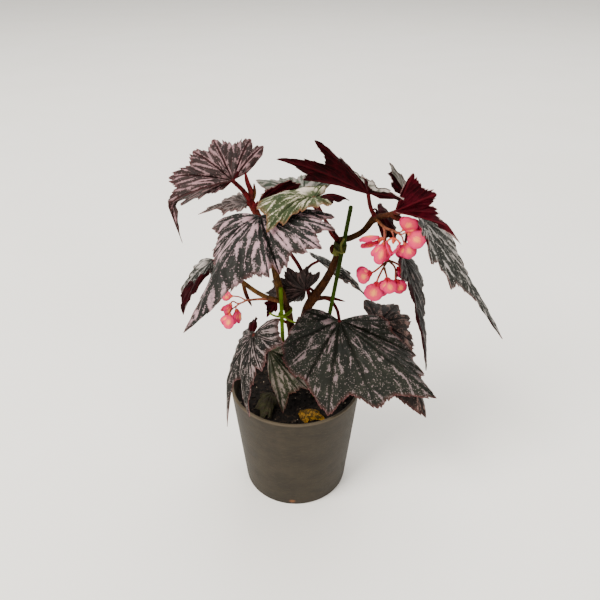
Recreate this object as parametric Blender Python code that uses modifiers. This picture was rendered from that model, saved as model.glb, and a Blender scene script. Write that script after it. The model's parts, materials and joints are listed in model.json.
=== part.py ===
"""Potted cane begonia: a taupe pot of soil, two tied canes, lobed leaves and two sprays of bloom.

Units: the constants and tables are millimetres, the scene is metres. +Z is up, the viewer is at -Y,
and the origin is the middle of the pot's base.
"""

import math

import bmesh
import bpy
from mathutils import Vector, noise

MM = 0.001

# Pot and soil
POT_HEIGHT = 111.0
POT_RIM_RADIUS = 60.0
POT_BASE_RADIUS = 49.5
POT_WALL = 2.8
POT_FLOOR = 3.5
POT_SIDES = 44
SOIL_TOP = 95.0
SOIL_BUMP = 1.6
GAP = 0.35
SEAT = 0.5

# Stems and stakes
CANE_RADIUS = 3.4
PETIOLE_RADIUS = 1.25
STALK_RADIUS = 0.75
STAKE_RADIUS = 1.75
TIE_WIRE = 0.8
ROOT_DEPTH = 42.0
CANE_SIDES = 2
STEM_SIDES = 1
STALK_SIDES = 0

# Leaf blades
BLADE = 0.7
CUTS = 5
SMALL_CUTS = 4
RINGS = 3
PLEAT = 0.03
TOOTH = 0.04
DIP = 0.12
FULL = 0.5

# Blooms
TEPAL_LENGTH = 12.0
TEPAL_WIDTH = 12.5
TEPAL_BLADE = 0.8

# Looks: linear colour and roughness
LOOKS = {
    "pot_taupe": ((0.122, 0.098, 0.073), 0.55),
    "soil": ((0.012, 0.009, 0.007), 0.95),
    "cane_brown": ((0.085, 0.040, 0.012), 0.5),
    "stake_green": ((0.075, 0.150, 0.012), 0.45),
    "stake_dark_green": ((0.030, 0.075, 0.010), 0.45),
    "tie_green": ((0.130, 0.210, 0.030), 0.5),
    "leaf_dark": ((0.040, 0.048, 0.036), 0.45),
    "leaf_pale": ((0.190, 0.240, 0.130), 0.45),
    "leaf_wine": ((0.070, 0.008, 0.014), 0.45),
    "leaf_yellow": ((0.480, 0.230, 0.020), 0.6),
    "leaf_brown": ((0.060, 0.050, 0.020), 0.6),
    "bloom_pink": ((0.830, 0.210, 0.250), 0.45),
}
# Leaves not in the plain dark green look. The wine-red ones turn their undersides to the viewer.
LEAF_LOOKS = {
    "leaf_young_pale": "leaf_pale", "leaf_fallen": "leaf_yellow", "leaf_dry": "leaf_brown",
    "leaf_young_red": "leaf_wine", "leaf_top_red": "leaf_wine", "leaf_right_sprig": "leaf_wine",
    "leaf_red_fan": "leaf_wine", "leaf_behind_blooms": "leaf_wine", "leaf_tiny_red": "leaf_wine",
}

# Each leaf: where the petiole meets it, the lobe tips in turn round the blade, anticlockwise as
# its upper face is seen, and which of them is the main one. A drip tip hangs on from the main lobe.
LEAVES = {
    "leaf_high_left": dict(
        at=(-46, -8, 309), main=5, drip=(10, -9, -28), arch=0.10, tuck=12, lobes=(
            (-24, 19, 328), (-34, 23, 332), (-63, 23, 331), (-79, 17, 324), (-97, 4, 308),
            (-94, -23, 297), (-87, -9, 290), (-75, 2, 291), (-62, -12, 301))),
    "leaf_broad_left": dict(
        at=(-25, -30, 290), main=2, drip=(-10, 0, -9), arch=0.10, tuck=22, lobes=(
            (-63, -14, 275), (-61, -37, 261), (-67, -95, 240), (-17, -81, 268),
            (-10, -70, 263), (19, -63, 280), (29, -48, 288), (30, -25, 287))),
    "leaf_small_left": dict(
        at=(-38, 12, 283), main=2, drip=(-7, 0, -3), arch=0.08, lobes=(
            (-45, 33, 284), (-58, 23, 282), (-70, 5, 280), (-56, -5, 281), (-44, -7, 284))),
    "leaf_back_silver": dict(
        at=(8, 22, 285), main=3, arch=0.10, lobes=(
            (33, 39, 294), (9, 50, 294), (-11, 56, 288), (-34, 55, 287), (-29, 32, 280),
            (-27, 24, 257))),
    "leaf_young_red": dict(
        at=(-28, 0, 289), main=2, arch=0.06, tuck=10, lobes=(
            (-20, -1, 300), (-4, 0, 307), (5, 2, 303), (1, -1, 296))),
    "leaf_young_pale": dict(
        at=(15, -18, 299), main=3, arch=0.14, dip=0.08, lobes=(
            (24, 2, 302), (-28, -12, 293), (-27, -39, 300), (-19, -55, 289), (-8, -53, 294),
            (6, -44, 301), (27, -28, 298), (41, -20, 299))),
    "leaf_top_red": dict(
        at=(57, 0, 296), main=2, arch=0.04, tuck=14, dips=(0.05, 0.15, 0.34, 0.2, 0.3, 0.25),
        full=0.8, lobes=(
            (31, 25, 297), (7, 25, 298), (-14, 30, 314), (16, 14, 334), (33, -18, 330),
            (50, -20, 318), (80, -30, 304))),
    "leaf_right_sprig": dict(
        at=(90, 10, 289), main=2, arch=0.05, lobes=(
            (74, -2, 306), (71, 2, 312), (73, 9, 318), (81, -2, 312), (89, -3, 303))),
    "leaf_red_fan": dict(
        at=(77, -12, 286), main=3, arch=0.04, tuck=8, lobes=(
            (85, -27, 322), (103, -31, 308), (112, -26, 288), (118, -57, 281), (105, -24, 283))),
    "leaf_hanging_right": dict(
        at=(100, 0, 277), main=3, drip=(12, 0, -15), arch=0.02, lobes=(
            (96, -35, 277), (101, -48, 260), (117, -55, 243), (153, -51, 210), (141, 3, 230),
            (135, 36, 247))),
    "leaf_narrow_right": dict(
        at=(88, 6, 241), main=2, arch=0.03, lobes=(
            (82, -43, 244), (92, -30, 223), (110, -43, 157), (114, 8, 187), (116, 36, 199),
            (107, 48, 213))),
    "leaf_behind_blooms": dict(
        at=(68, 14, 275), main=2, arch=0.06, lobes=(
            (64, 9, 275), (70, -1, 259), (83, 6, 252), (84, 24, 258), (76, 34, 268))),
    "leaf_broad_front": dict(
        at=(38, -12, 186), main=5, arch=0.10, tuck=20, dip=0.08, full=1.0,
        dips=(-0.05, -0.06, -0.04, 0.02, 0.05), lobes=(
            (8, 4, 186), (-12, -13, 159), (9, -33, 137), (28, -53, 116), (69, -61, 131),
            (116, -62, 143), (109, -40, 151), (105, -19, 155), (80, -11, 185))),
    "leaf_low_left": dict(
        at=(-34, -30, 184), main=3, drip=(-2, -3, -42), arch=0.10, full=0.8,
        dips=(0.05, 0.05, 0.05, 0.3, 0.1, 0.15, 0.45, 0.0), lobes=(
            (-34, -7, 187), (-47, -16, 171), (-54, -26, 155), (-59, -40, 136), (-39, -60, 121),
            (-34, -58, 155), (-27, -52, 163), (-10, -41, 183), (-14, -26, 197))),
    "leaf_inner_low": dict(
        at=(-23, -12, 156), main=1, arch=0.08, tuck=8, lobes=(
            (-22, -20, 125), (-11, -30, 98), (3, -26, 121), (12, -20, 117), (11, -8, 132))),
    "leaf_small_centre": dict(
        at=(9, 4, 207), main=4, arch=0.06, tuck=20, lobes=(
            (21, 2, 225), (10, 4, 229), (-7, 8, 226), (-20, 13, 211), (-27, 20, 194),
            (-9, 16, 185), (2, 19, 186))),
    "leaf_far_left": dict(
        at=(-69, 14, 231), main=2, arch=0.06, lobes=(
            (-88, 31, 217), (-98, 6, 206), (-92, -25, 201), (-79, -28, 225), (-68, -11, 216))),
    "leaf_low_right": dict(
        at=(73, 4, 172), main=2, arch=0.10, lobes=(
            (32, -29, 137), (63, -53, 131), (112, -54, 115), (107, 1, 152), (106, 24, 166),
            (96, 36, 172), (65, 39, 176))),
    "leaf_edge_on": dict(
        at=(20, 12, 231), main=1, arch=0.06, lobes=(
            (46, 10, 210), (63, 14, 195), (48, 29, 211), (15, 41, 223))),
    "leaf_tiny_red": dict(
        at=(-16, 8, 192), main=1, arch=0.05, lobes=(
            (-17, 6, 184), (-25, 8, 177), (-27, 8, 192))),
    "leaf_fallen": dict(
        at=(3, -32, 99), main=1, arch=0.25, lobes=(
            (10, -40, 95.8), (28, -37, 96.8), (22, -26, 96.8), (9, -24, 95.8))),
    "leaf_dry": dict(
        at=(-21, -8, 103), main=2, arch=0.12, lobes=(
            (-33, -12, 103), (-37, -26, 100), (-31, -37, 95.2), (-22, -35, 96.5),
            (-18, -22, 100))),
}

# Stems: points on the way from root to tip, and the thickness at each as a share of the radius.
CANES = {
    "cane_left": dict(
        root=(-2, 8), way=((-4, 6, 166), (-6, 5, 184), (-12, 4, 203), (-16, 1, 224), (-20, 1, 251),
                           (-27, 2, 271), (-35, 3, 289)), ends=0.75),
    "cane_right": dict(
        root=(12, 18), way=((8, 11, 160), (10, 8, 184), (17, 7, 199), (27, 6, 217), (34, 5, 236),
                            (38, 5, 253), (46, 5, 256), (55, 4, 262), (64, 2, 274), (74, 0, 278),
                            (80, -3, 281)), ends=0.55),
}
SMALL_LEAVES = {
    "leaf_small_left", "leaf_back_silver", "leaf_young_red", "leaf_young_pale", "leaf_right_sprig",
    "leaf_red_fan", "leaf_behind_blooms", "leaf_inner_low", "leaf_small_centre", "leaf_far_left",
    "leaf_edge_on", "leaf_tiny_red", "leaf_fallen", "leaf_dry",
}
PETIOLES = {
    "cane_left": {
        "leaf_high_left": ((-34, 3, 288), (-39, -1, 298)),
        "leaf_young_red": ((-33, 3, 287), (-31, -1, 286)),
        "leaf_low_left": ((-6, 6, 172), (-15, 2, 178), (-21, -9, 183)),
        "leaf_inner_low": ((-3, 7, 104), (-18, -4, 120), (-23, -8, 142)),
        "leaf_far_left": ((-10, 4, 195), (-26, 5, 200), (-45, 9, 212), (-60, 14, 224)),
        "leaf_tiny_red": ((-11, 4, 200), (-14, 9, 197)),
        "leaf_small_left": ((-34, 3, 287), (-37, 9, 283)),
    },
    "cane_right": {
        "leaf_broad_left": ((14, 8, 193), (6, 10, 221), (-3, 6, 240), (-16, -14, 268)),
        "leaf_edge_on": ((15, 9, 194), (8, 13, 214), (12, 14, 224)),
        "leaf_small_centre": ((17, 7, 200), (14, 9, 205)),
        "leaf_broad_front": ((17, 7, 196), (29, 7, 196), (35, 3, 191)),
        "leaf_low_right": ((10, 12, 150), (40, 20, 158), (62, 16, 164)),
        "leaf_young_pale": ((36, 5, 254), (29, 2, 262), (22, -8, 276)),
        "leaf_back_silver": ((36, 5, 254), (24, 16, 268)),
        "leaf_behind_blooms": ((63, 3, 272), (61, 11, 269)),
        "leaf_top_red": ((64, 2, 275), (60, 2, 283)),
        "leaf_narrow_right": ((79, -2, 280), (88, 3, 270), (91, 6, 254)),
        "leaf_right_sprig": ((79, -3, 281), (84, 6, 283)),
        "leaf_red_fan": ((79, -3, 281), (79, -8, 283)),
        "leaf_hanging_right": ((80, -3, 281), (91, 3, 279)),
    },
}


def clear_scene():
    for thing in list(bpy.data.objects):
        bpy.data.objects.remove(thing, do_unlink=True)


def material(name, colour, roughness, metallic=0.0):
    made = bpy.data.materials.new(name)
    made.use_nodes = True
    shader = made.node_tree.nodes["Principled BSDF"]
    shader.inputs["Base Color"].default_value = (*colour, 1.0)
    shader.inputs["Roughness"].default_value = roughness
    shader.inputs["Metallic"].default_value = metallic
    made.diffuse_color = (*colour, 1.0)
    return made


def collection(name, inside=None):
    found = bpy.data.collections.get(name)
    if found is None:
        found = bpy.data.collections.new(name)
        (inside or bpy.context.scene.collection).children.link(found)
    return found


def mesh_object(name, bm, look, sharp=35.0):
    """A piece in the plant's collection, shaded smooth but for edges sharper than this angle."""
    mesh = bpy.data.meshes.new(name)
    bm.to_mesh(mesh)
    bm.free()
    mesh.shade_smooth()
    mesh.set_sharp_from_angle(angle=math.radians(sharp))
    mesh.materials.append(look)
    made = bpy.data.objects.new(name, mesh)
    collection("potted_begonia").objects.link(made)
    return made


def boolean(target, operation, tools):
    """Cuts or joins a set of helper objects in one step, then removes them."""
    helpers = collection(target.name + "_tools", collection("cutters"))
    for tool in tools:
        collection("potted_begonia").objects.unlink(tool)
        helpers.objects.link(tool)
        tool.hide_render = True
        tool.display_type = "WIRE"
    change = target.modifiers.new(operation.title(), "BOOLEAN")
    change.operation = operation
    change.operand_type = "COLLECTION"
    change.collection = helpers
    change.solver = "EXACT"
    bpy.context.view_layer.update()
    graph = bpy.context.evaluated_depsgraph_get()
    rough = target.data
    target.data = bpy.data.meshes.new_from_object(target.evaluated_get(graph))
    target.data.name = target.name
    target.modifiers.clear()
    bpy.data.meshes.remove(rough)
    for tool in tools:
        bpy.data.objects.remove(tool, do_unlink=True)
    bpy.data.collections.remove(helpers)
    return target


# Pot and soil

def turned(name, profile, look, sides):
    """A closed profile of (radius, height) points, turned round the Z axis."""
    bm = bmesh.new()
    points = [bm.verts.new((r * MM, 0, z * MM)) for r, z in profile]
    for first, second in zip(points, points[1:]):
        bm.edges.new((first, second))
    made = mesh_object(name, bm, look)
    screw = made.modifiers.new("Turn", "SCREW")
    screw.steps = sides
    screw.render_steps = sides
    screw.use_merge_vertices = True
    screw.merge_threshold = 0.00001
    screw.use_normal_calculate = True
    return made


def inner_radius(z):
    slope = (POT_RIM_RADIUS - POT_BASE_RADIUS) / POT_HEIGHT
    return POT_BASE_RADIUS + slope * z - POT_WALL


def make_pot(look):
    lip = 1.0
    profile = [
        (0.0, 0.0), (POT_BASE_RADIUS - 1.2, 0.0),
        (POT_BASE_RADIUS, 1.2), (POT_RIM_RADIUS - 0.1, POT_HEIGHT - lip),
        (POT_RIM_RADIUS - lip, POT_HEIGHT), (POT_RIM_RADIUS - POT_WALL + lip, POT_HEIGHT),
        (POT_RIM_RADIUS - POT_WALL, POT_HEIGHT - lip),
        (inner_radius(POT_FLOOR), POT_FLOOR), (0.0, POT_FLOOR),
    ]
    return turned("pot", profile, look, POT_SIDES)


def make_soil(look, stems):
    """A fill with a rough top, and a plain hole for each thing that stands in it."""
    bm = bmesh.new()
    top = inner_radius(SOIL_TOP) - GAP
    foot = inner_radius(POT_FLOOR) - GAP
    height = SOIL_TOP - POT_FLOOR - GAP
    bmesh.ops.create_cone(
        bm, cap_ends=True, segments=40, radius1=foot * MM, radius2=top * MM, depth=height * MM)
    bmesh.ops.translate(bm, verts=bm.verts, vec=(0, 0, (POT_FLOOR + GAP + height / 2) * MM))
    lid = [f for f in bm.faces if f.normal.z > 0.9]
    for step in range(3):
        bmesh.ops.inset_region(bm, faces=lid, thickness=top / 4 * MM)
    bmesh.ops.triangulate(bm, faces=lid)
    inside = [v for v in bm.verts if v.co.z > (SOIL_TOP - 1) * MM and v.co.xy.length < (top - 1) * MM]
    for v in inside:
        v.co.z += SOIL_BUMP * MM * noise.noise(v.co * 90.0)
    soil = mesh_object("soil", bm, look)
    return boolean(soil, "DIFFERENCE", stems)


# Stems

def tube(name, points, radius, look, shares=None, sides=STEM_SIDES, steps=3):
    """A round stem as a mesh, from a smooth curve through the points."""
    curve = bpy.data.curves.new(name, "CURVE")
    curve.dimensions = "3D"
    curve.bevel_depth = radius * MM
    curve.bevel_resolution = sides
    curve.resolution_u = steps
    curve.use_fill_caps = True
    spline = curve.splines.new("BEZIER")
    spline.bezier_points.add(len(points) - 1)
    for knot, place, share in zip(spline.bezier_points, points, shares or [1.0] * len(points)):
        knot.co = Vector(place) * MM
        knot.handle_left_type = "AUTO"
        knot.handle_right_type = "AUTO"
        knot.radius = share
    return mesh_of_curve(name, curve, look)


def mesh_of_curve(name, curve, look):
    drawn = bpy.data.objects.new(name + "_curve", curve)
    bpy.context.scene.collection.objects.link(drawn)
    bpy.context.view_layer.update()
    graph = bpy.context.evaluated_depsgraph_get()
    mesh = bpy.data.meshes.new_from_object(drawn.evaluated_get(graph))
    bpy.data.objects.remove(drawn, do_unlink=True)
    bm = bmesh.new()
    bm.from_mesh(mesh)
    bmesh.ops.remove_doubles(bm, verts=bm.verts, dist=1e-6)
    bmesh.ops.recalc_face_normals(bm, faces=bm.faces)
    bpy.data.meshes.remove(mesh)
    return mesh_object(name, bm, look)


def root_points(name, deeper=0.0):
    x, y = CANES[name]["root"]
    return [(x, y, SOIL_TOP - ROOT_DEPTH - deeper), (x, y, SOIL_TOP - 12), (x, y, SOIL_TOP + 4)]


def leaf_face(row):
    """The junction, the veins from it and the direction that the upper face looks in."""
    at = Vector(row["at"])
    veins = [Vector(tip) - at for tip in row["lobes"]]
    face = Vector((0, 0, 0))
    for first, second in zip(veins, veins[1:]):
        face += first.cross(second)
    return at, veins, face.normalized()


def petiole(name, way, look):
    """From a cane to just under a leaf's junction, reaching it square to the blade.

    Veins that bend down past the petiole's end push that end further from the blade.
    """
    at, veins, face = leaf_face(LEAVES[name])
    droop = 0.0
    for vein in veins:
        down = -vein.normalized().dot(face)
        droop = max(droop, down / math.sqrt(1 - down * down) - 3 * LEAVES[name]["arch"])
    end = at - face * (BLADE / 2 + SEAT + PETIOLE_RADIUS * 0.8 * droop)
    points = [*way, end - face * 4.0, end]
    shares = [1.15] + [1.0] * (len(points) - 2) + [0.8]
    return tube(name + "_petiole", points, PETIOLE_RADIUS, look, shares, steps=2)


def make_cane(name, look, extras):
    row = CANES[name]
    points = root_points(name) + list(row["way"])
    last = len(points) - 1
    shares = [1.0 - (1.0 - row["ends"]) * (i / last) for i in range(last + 1)]
    cane = tube(name, points, CANE_RADIUS, look, shares, CANE_SIDES, steps=2)
    joined = [petiole(leaf, way, look) for leaf, way in PETIOLES[name].items()]
    return boolean(cane, "UNION", joined + extras)


def pointed(name, points, radius, look):
    """A stem that swells and ends in a point, as a bud, stipule or furled leaf does."""
    last = len(points) - 1
    shares = [0.55] + [1.0] * (last - 1) + [0.08]
    return tube(name, points, radius, look, shares)


def rod(name, foot, head, radius, look, longer=0.0, sides=10):
    """A straight round stake between two points."""
    low, high = Vector(foot), Vector(head)
    along = high - low
    low = low - along.normalized() * longer
    along = high - low
    bm = bmesh.new()
    bmesh.ops.create_cone(
        bm, cap_ends=True, segments=sides, radius1=radius * MM, radius2=radius * MM,
        depth=along.length * MM)
    turn = Vector((0, 0, 1)).rotation_difference(along).to_matrix()
    bmesh.ops.rotate(bm, verts=bm.verts, matrix=turn)
    bmesh.ops.translate(bm, verts=bm.verts, vec=(low + high) / 2 * MM)
    return mesh_object(name, bm, look)


STAKES = {
    "stake_left": dict(look="stake_green", foot=(-9.0, -4.0, 52.0), head=(-12.0, -4.0, 214.0)),
    "stake_right": dict(
        look="stake_dark_green", foot=(10.5, -3.6, 52.0), head=(44.0, -3.0, 287.0)),
}


# Each tie goes round a stake and a cane at this height, and has loose ends.
TIES = {
    "tie_left": dict(
        stake="stake_left", height=187.0, cane=(-7.0, 5.0, 187.0), cane_radius=3.3, tall=0.0, ends=(
            ((-12.5, -7, 187), (-17, -7.5, 188), (-22, -6, 190)),
            ((-10, -7.2, 187), (-5, -8, 184), (0, -7, 181)))),
    "tie_right": dict(
        stake="stake_right", height=248.5, cane=(36.0, 5.0, 248.0), cane_radius=3.4, tall=2.2, ends=(
            ((38, -6.6, 249), (37, -7.3, 255), (39.5, -7, 261)),)),
}


def stake_at(name, z):
    foot, head = Vector(STAKES[name]["foot"]), Vector(STAKES[name]["head"])
    return foot.lerp(head, (z - foot.z) / (head.z - foot.z))


def belt(name, posts, wire, tall, look, extras):
    """A closed wire or tape drawn round two posts, each (x, y, z, radius), with its ends fused on."""
    first, second = (Vector(post[:3]) for post in posts)
    along = second - first
    along.z = 0
    along.normalize()
    across = Vector((-along.y, along.x, 0))
    places = []
    for centre, radius, way in ((second, posts[1][3], 1), (first, posts[0][3], -1)):
        reach = radius + wire + GAP + 0.15 * tall
        for step in range(8):
            a = math.radians(-84 + 24 * step)
            out = along * math.cos(a) * way + across * math.sin(a) * way
            places.append(centre + out * reach)
    curve = bpy.data.curves.new(name, "CURVE")
    curve.dimensions = "3D"
    curve.bevel_depth = wire * MM
    curve.extrude = tall * MM
    curve.bevel_resolution = 0
    spline = curve.splines.new("POLY")
    spline.points.add(len(places) - 1)
    spline.use_cyclic_u = True
    for point, place in zip(spline.points, places):
        point.co = (*(place * MM), 1.0)
    made = mesh_of_curve(name, curve, look)
    return boolean(made, "UNION", extras)


# Leaves

def rib(row, veins, face, turn):
    """The direction and reach, in mm, of the blade's rib at this turn of the fan."""
    last = len(veins) - 1
    if turn < 0 or turn > last:
        beyond = -turn if turn < 0 else turn - last
        vein = veins[0] if turn < 0 else veins[-1]
        sign = -1 if turn < 0 else 1
        angle = math.radians(row.get("tuck", 24)) * beyond * sign
        way = vein.normalized()
        way = way * math.cos(angle) + face.cross(way) * math.sin(angle)
        return way.normalized(), vein.length * (1 - beyond ** 1.5) ** 0.7
    k = min(int(turn), last - 1)
    t = turn - k
    first, second = veins[k], veins[k + 1]
    way = first.normalized().slerp(second.normalized(), t)
    low = min(first.length, second.length)
    hollow = low + (first.length - low) * (1 - t) ** 2 + (second.length - low) * t ** 2
    wide = first.angle(second)
    chord = first.length * second.length * math.sin(wide) / (
        first.length * math.sin(t * wide) + second.length * math.sin((1 - t) * wide))
    full = row.get("full", FULL)
    dips = row.get("dips", ())
    dip = dips[k] if k < len(dips) else row.get("dip", DIP)
    notch = 1 - dip * (4 * t * (1 - t)) ** 1.5
    return way, (hollow + (chord - hollow) * full) * notch


def blade_point(row, frame, turn, out, tooth=0.0):
    """A point of the blade: turn runs round the fan of veins, out from the junction to the edge."""
    at, veins, face = frame
    way, reach = rib(row, veins, face, turn)
    reach *= 1 - tooth
    near = max(0.0, 1 - abs(turn - row["main"]) * 4.0)
    share = out
    hang = Vector((0, 0, 0))
    if "drip" in row and near > 0.01:
        drip = Vector(row["drip"]) * near
        knee = reach / (reach + drip.length)
        share = min(out / knee, 1.0)
        hang = drip * max(0.0, (out - knee) / (1 - knee))
    between = abs(math.sin(math.pi * turn)) if 0 <= turn <= len(veins) - 1 else 0.0
    lift = row["arch"] * 4 * share * (1 - share)
    lift += row.get("pleat", PLEAT) * between * share * (1.35 - share) * 2
    return at + way * reach * share + face * reach * lift + hang


def turns_of(row, cuts):
    """The turns at which the blade's ribs stand, with two past each end vein."""
    last = len(row["lobes"]) - 1
    inner = [i / cuts for i in range(last * cuts + 1)]
    return [-1.0, -0.55] + inner + [last + 0.55, last + 1.0]


def make_leaf(name, row, look):
    cuts = SMALL_CUTS if name in SMALL_LEAVES else CUTS
    turns = turns_of(row, cuts)
    frame = leaf_face(row)
    bm = bmesh.new()
    bmesh.ops.create_grid(bm, x_segments=len(turns) - 1, y_segments=RINGS, size=1.0)
    for v in bm.verts:
        column = round((v.co.x + 1) / 2 * (len(turns) - 1))
        out = (v.co.y + 1) / 2
        inside = 2 <= column < len(turns) - 2
        tooth = TOOTH if inside and (column - 2) % cuts % 2 == 1 and out > 0.99 else 0.0
        v.co = blade_point(row, frame, turns[column], out, tooth) * MM
    bmesh.ops.remove_doubles(bm, verts=bm.verts, dist=5e-5)
    bmesh.ops.triangulate(bm, faces=bm.faces)
    bmesh.ops.recalc_face_normals(bm, faces=bm.faces)
    middle = bm.faces[0]
    if middle.normal.dot(frame[2]) < 0:
        bmesh.ops.reverse_faces(bm, faces=bm.faces)
    leaf = mesh_object(name, bm, look)
    shell = leaf.modifiers.new("Blade", "SOLIDIFY")
    shell.thickness = BLADE * MM
    shell.offset = 0.0
    return leaf


# Blooms

# Each bloom: the cane it comes from, its stalk's way from the spray, where that stalk ends, the way
# the bloom hangs, the way its flat side looks, its size, and its width for its length.
BLOOMS = {
    "bloom_right_a": dict(
        cane="cane_right", way=((79, -10, 268),), at=(84, -12, 270), hang=(0.62, -0.15, 0.77),
        side=(0.1, -1, 0.2), size=1.05),
    "bloom_right_b": dict(
        cane="cane_right", way=((79, -10, 268), (84, -12, 267)), at=(88, -14, 266),
        hang=(0.93, -0.3, -0.3), side=(0, -1, 0.3), size=1.1),
    "bloom_right_c": dict(
        cane="cane_right", way=((79, -10, 268), (84, -12, 265)), at=(86, -13, 260),
        hang=(0.4, -0.2, -0.9), side=(0.2, -1, 0.1), size=1.0),
    "bloom_right_d": dict(
        cane="cane_right", way=((76, -9, 268),), at=(81, -11, 260), hang=(-0.2, -0.1, -0.9),
        side=(1, 0.1, 0.1), size=0.85, wide=0.9),
    "bloom_right_e": dict(
        cane="cane_right", way=((71, -6, 270),), at=(70, -12, 260), hang=(-0.2, -0.3, -1),
        side=(0.2, -1, 0), size=1.3, wide=0.8),
    "bloom_right_f": dict(
        cane="cane_right", way=((70, -6, 270),), at=(66, -11, 263), hang=(-1, -0.1, -0.3),
        side=(0, 0.5, 1), size=1.15, wide=0.8),
    "bloom_low_a": dict(
        cane="cane_right", way=((76, -4, 240), (69, -9, 236)), at=(62, -11, 232),
        hang=(-1, -0.1, -0.3), side=(-0.2, -1, 0.1), size=0.95),
    "bloom_low_b": dict(
        cane="cane_right", way=((76, -4, 240), (71, -9, 233)), at=(67, -13, 224),
        hang=(-0.2, -0.3, -1), side=(0.1, -1, 0.2), size=1.15),
    "bloom_low_c": dict(
        cane="cane_right", way=((73, -8, 235),), at=(75, -13, 228), hang=(0.2, -0.3, -1),
        side=(0.1, -1, 0.2), size=1.0),
    "bloom_low_d": dict(
        cane="cane_right", way=((76, -4, 240), (82, -6, 234)), at=(83, -11, 225),
        hang=(0.3, 0.1, -0.8), side=(0.2, -1, 0.2), size=0.85),
    "bloom_low_e": dict(
        cane="cane_right", way=((76, -4, 240), (82, -5, 238)), at=(86, -4, 233),
        hang=(0.1, 0.1, -1), side=(1, -0.4, 0), size=0.7),
    "bloom_left_a": dict(
        cane="cane_left", way=((-41, -10, 205), (-46, -11, 208)), at=(-50, -12, 208),
        hang=(-1, -0.1, 0.2), side=(0.2, -1, 0), size=0.6),
    "bloom_left_b": dict(
        cane="cane_left", way=((-41, -10, 205), (-47, -13, 204)), at=(-52, -14, 203),
        hang=(-0.9, -0.2, -0.7), side=(0.9, -0.6, 0), size=0.75),
    "bloom_left_c": dict(
        cane="cane_left", way=((-41, -10, 205), (-49, -14, 202)), at=(-54, -17, 196),
        hang=(-0.4, -0.3, -1), side=(0, -1, 0.1), size=1.0),
    "bloom_left_d": dict(
        cane="cane_left", way=((-43, -11, 204), (-47, -12, 203)), at=(-49, -12, 198),
        hang=(0.1, 0.15, -1), side=(1, -0.3, 0), size=0.9),
}
# The main stalks of the sprays, and a dry one on the petiole of the far left leaf.
SPRAYS = {
    "cane_left": (
        ((-10, 2, 196), (-26, -6, 204), (-42, -10, 205)),
        ((-44, 9, 211), (-42, 8, 199), (-38, 8, 188)),
    ),
    "cane_right": (
        ((65, 0, 274), (71, -6, 270), (80, -10, 268)),
        ((71, -6, 270), (73, -4, 254), (76, -4, 239)),
    ),
}


def stalk(name, row, look):
    """The last stalk of a bloom, ending square to it."""
    at = Vector(row["at"])
    hang = Vector(row["hang"]).normalized()
    points = [*row["way"], at - hang * 1.6, at]
    return tube(name + "_stalk", points, STALK_RADIUS, look, sides=STALK_SIDES, steps=2)


def tepal(name, row, lean, size, look, plain=False):
    """One round, cupped tepal, leaning from the bloom's middle plane by this many degrees."""
    at = Vector(row["at"])
    hang = Vector(row["hang"]).normalized()
    side = Vector(row["side"])
    side = (side - hang * side.dot(hang)).normalized()
    across = hang.cross(side)
    angle = math.radians(abs(lean))
    if lean < 0:
        side = -side
    way = hang * math.cos(angle) + side * math.sin(angle)
    out = side * math.cos(angle) - hang * math.sin(angle)
    bm = bmesh.new()
    bmesh.ops.create_circle(bm, cap_ends=True, segments=8, radius=1.0)
    if not plain:
        bmesh.ops.inset_region(bm, faces=list(bm.faces), thickness=0.42)
    bmesh.ops.poke(bm, faces=[f for f in bm.faces if len(f.verts) > 4])
    for v in bm.verts:
        x, y = v.co.x, v.co.y
        narrow = 0.55 + 0.45 * min(1.0, (y + 1) * 0.9)
        breadth = narrow * TEPAL_WIDTH * row.get("wide", 1.0)
        place = way * (y + 1.02) * TEPAL_LENGTH / 2 + across * x * breadth / 2
        place += out * (1 - x * x * 0.8 - y * y * 0.8) * 1.7
        v.co = (at + hang * 1.6 + place * size) * MM
    bmesh.ops.triangulate(bm, faces=bm.faces)
    bmesh.ops.recalc_face_normals(bm, faces=bm.faces)
    made = mesh_object(name, bm, look)
    shell = made.modifiers.new("Blade", "SOLIDIFY")
    shell.thickness = TEPAL_BLADE * MM
    shell.offset = 0.0
    return made


def make_bloom(name, row, look):
    """Two broad tepals facing each other, a smaller one between them and the small ovary."""
    at = Vector(row["at"])
    hang = Vector(row["hang"]).normalized()
    head = at + hang * 3.4
    ovary = rod(name, at + hang * GAP, head, 1.35, look, sides=6)
    parts = [
        tepal(name + "_front", row, 11, row["size"], look),
        tepal(name + "_back", row, -11, row["size"], look),
        tepal(name + "_inner", row, 3, row["size"] * 0.7, look, plain=True),
    ]
    return boolean(ovary, "UNION", parts)


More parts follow.
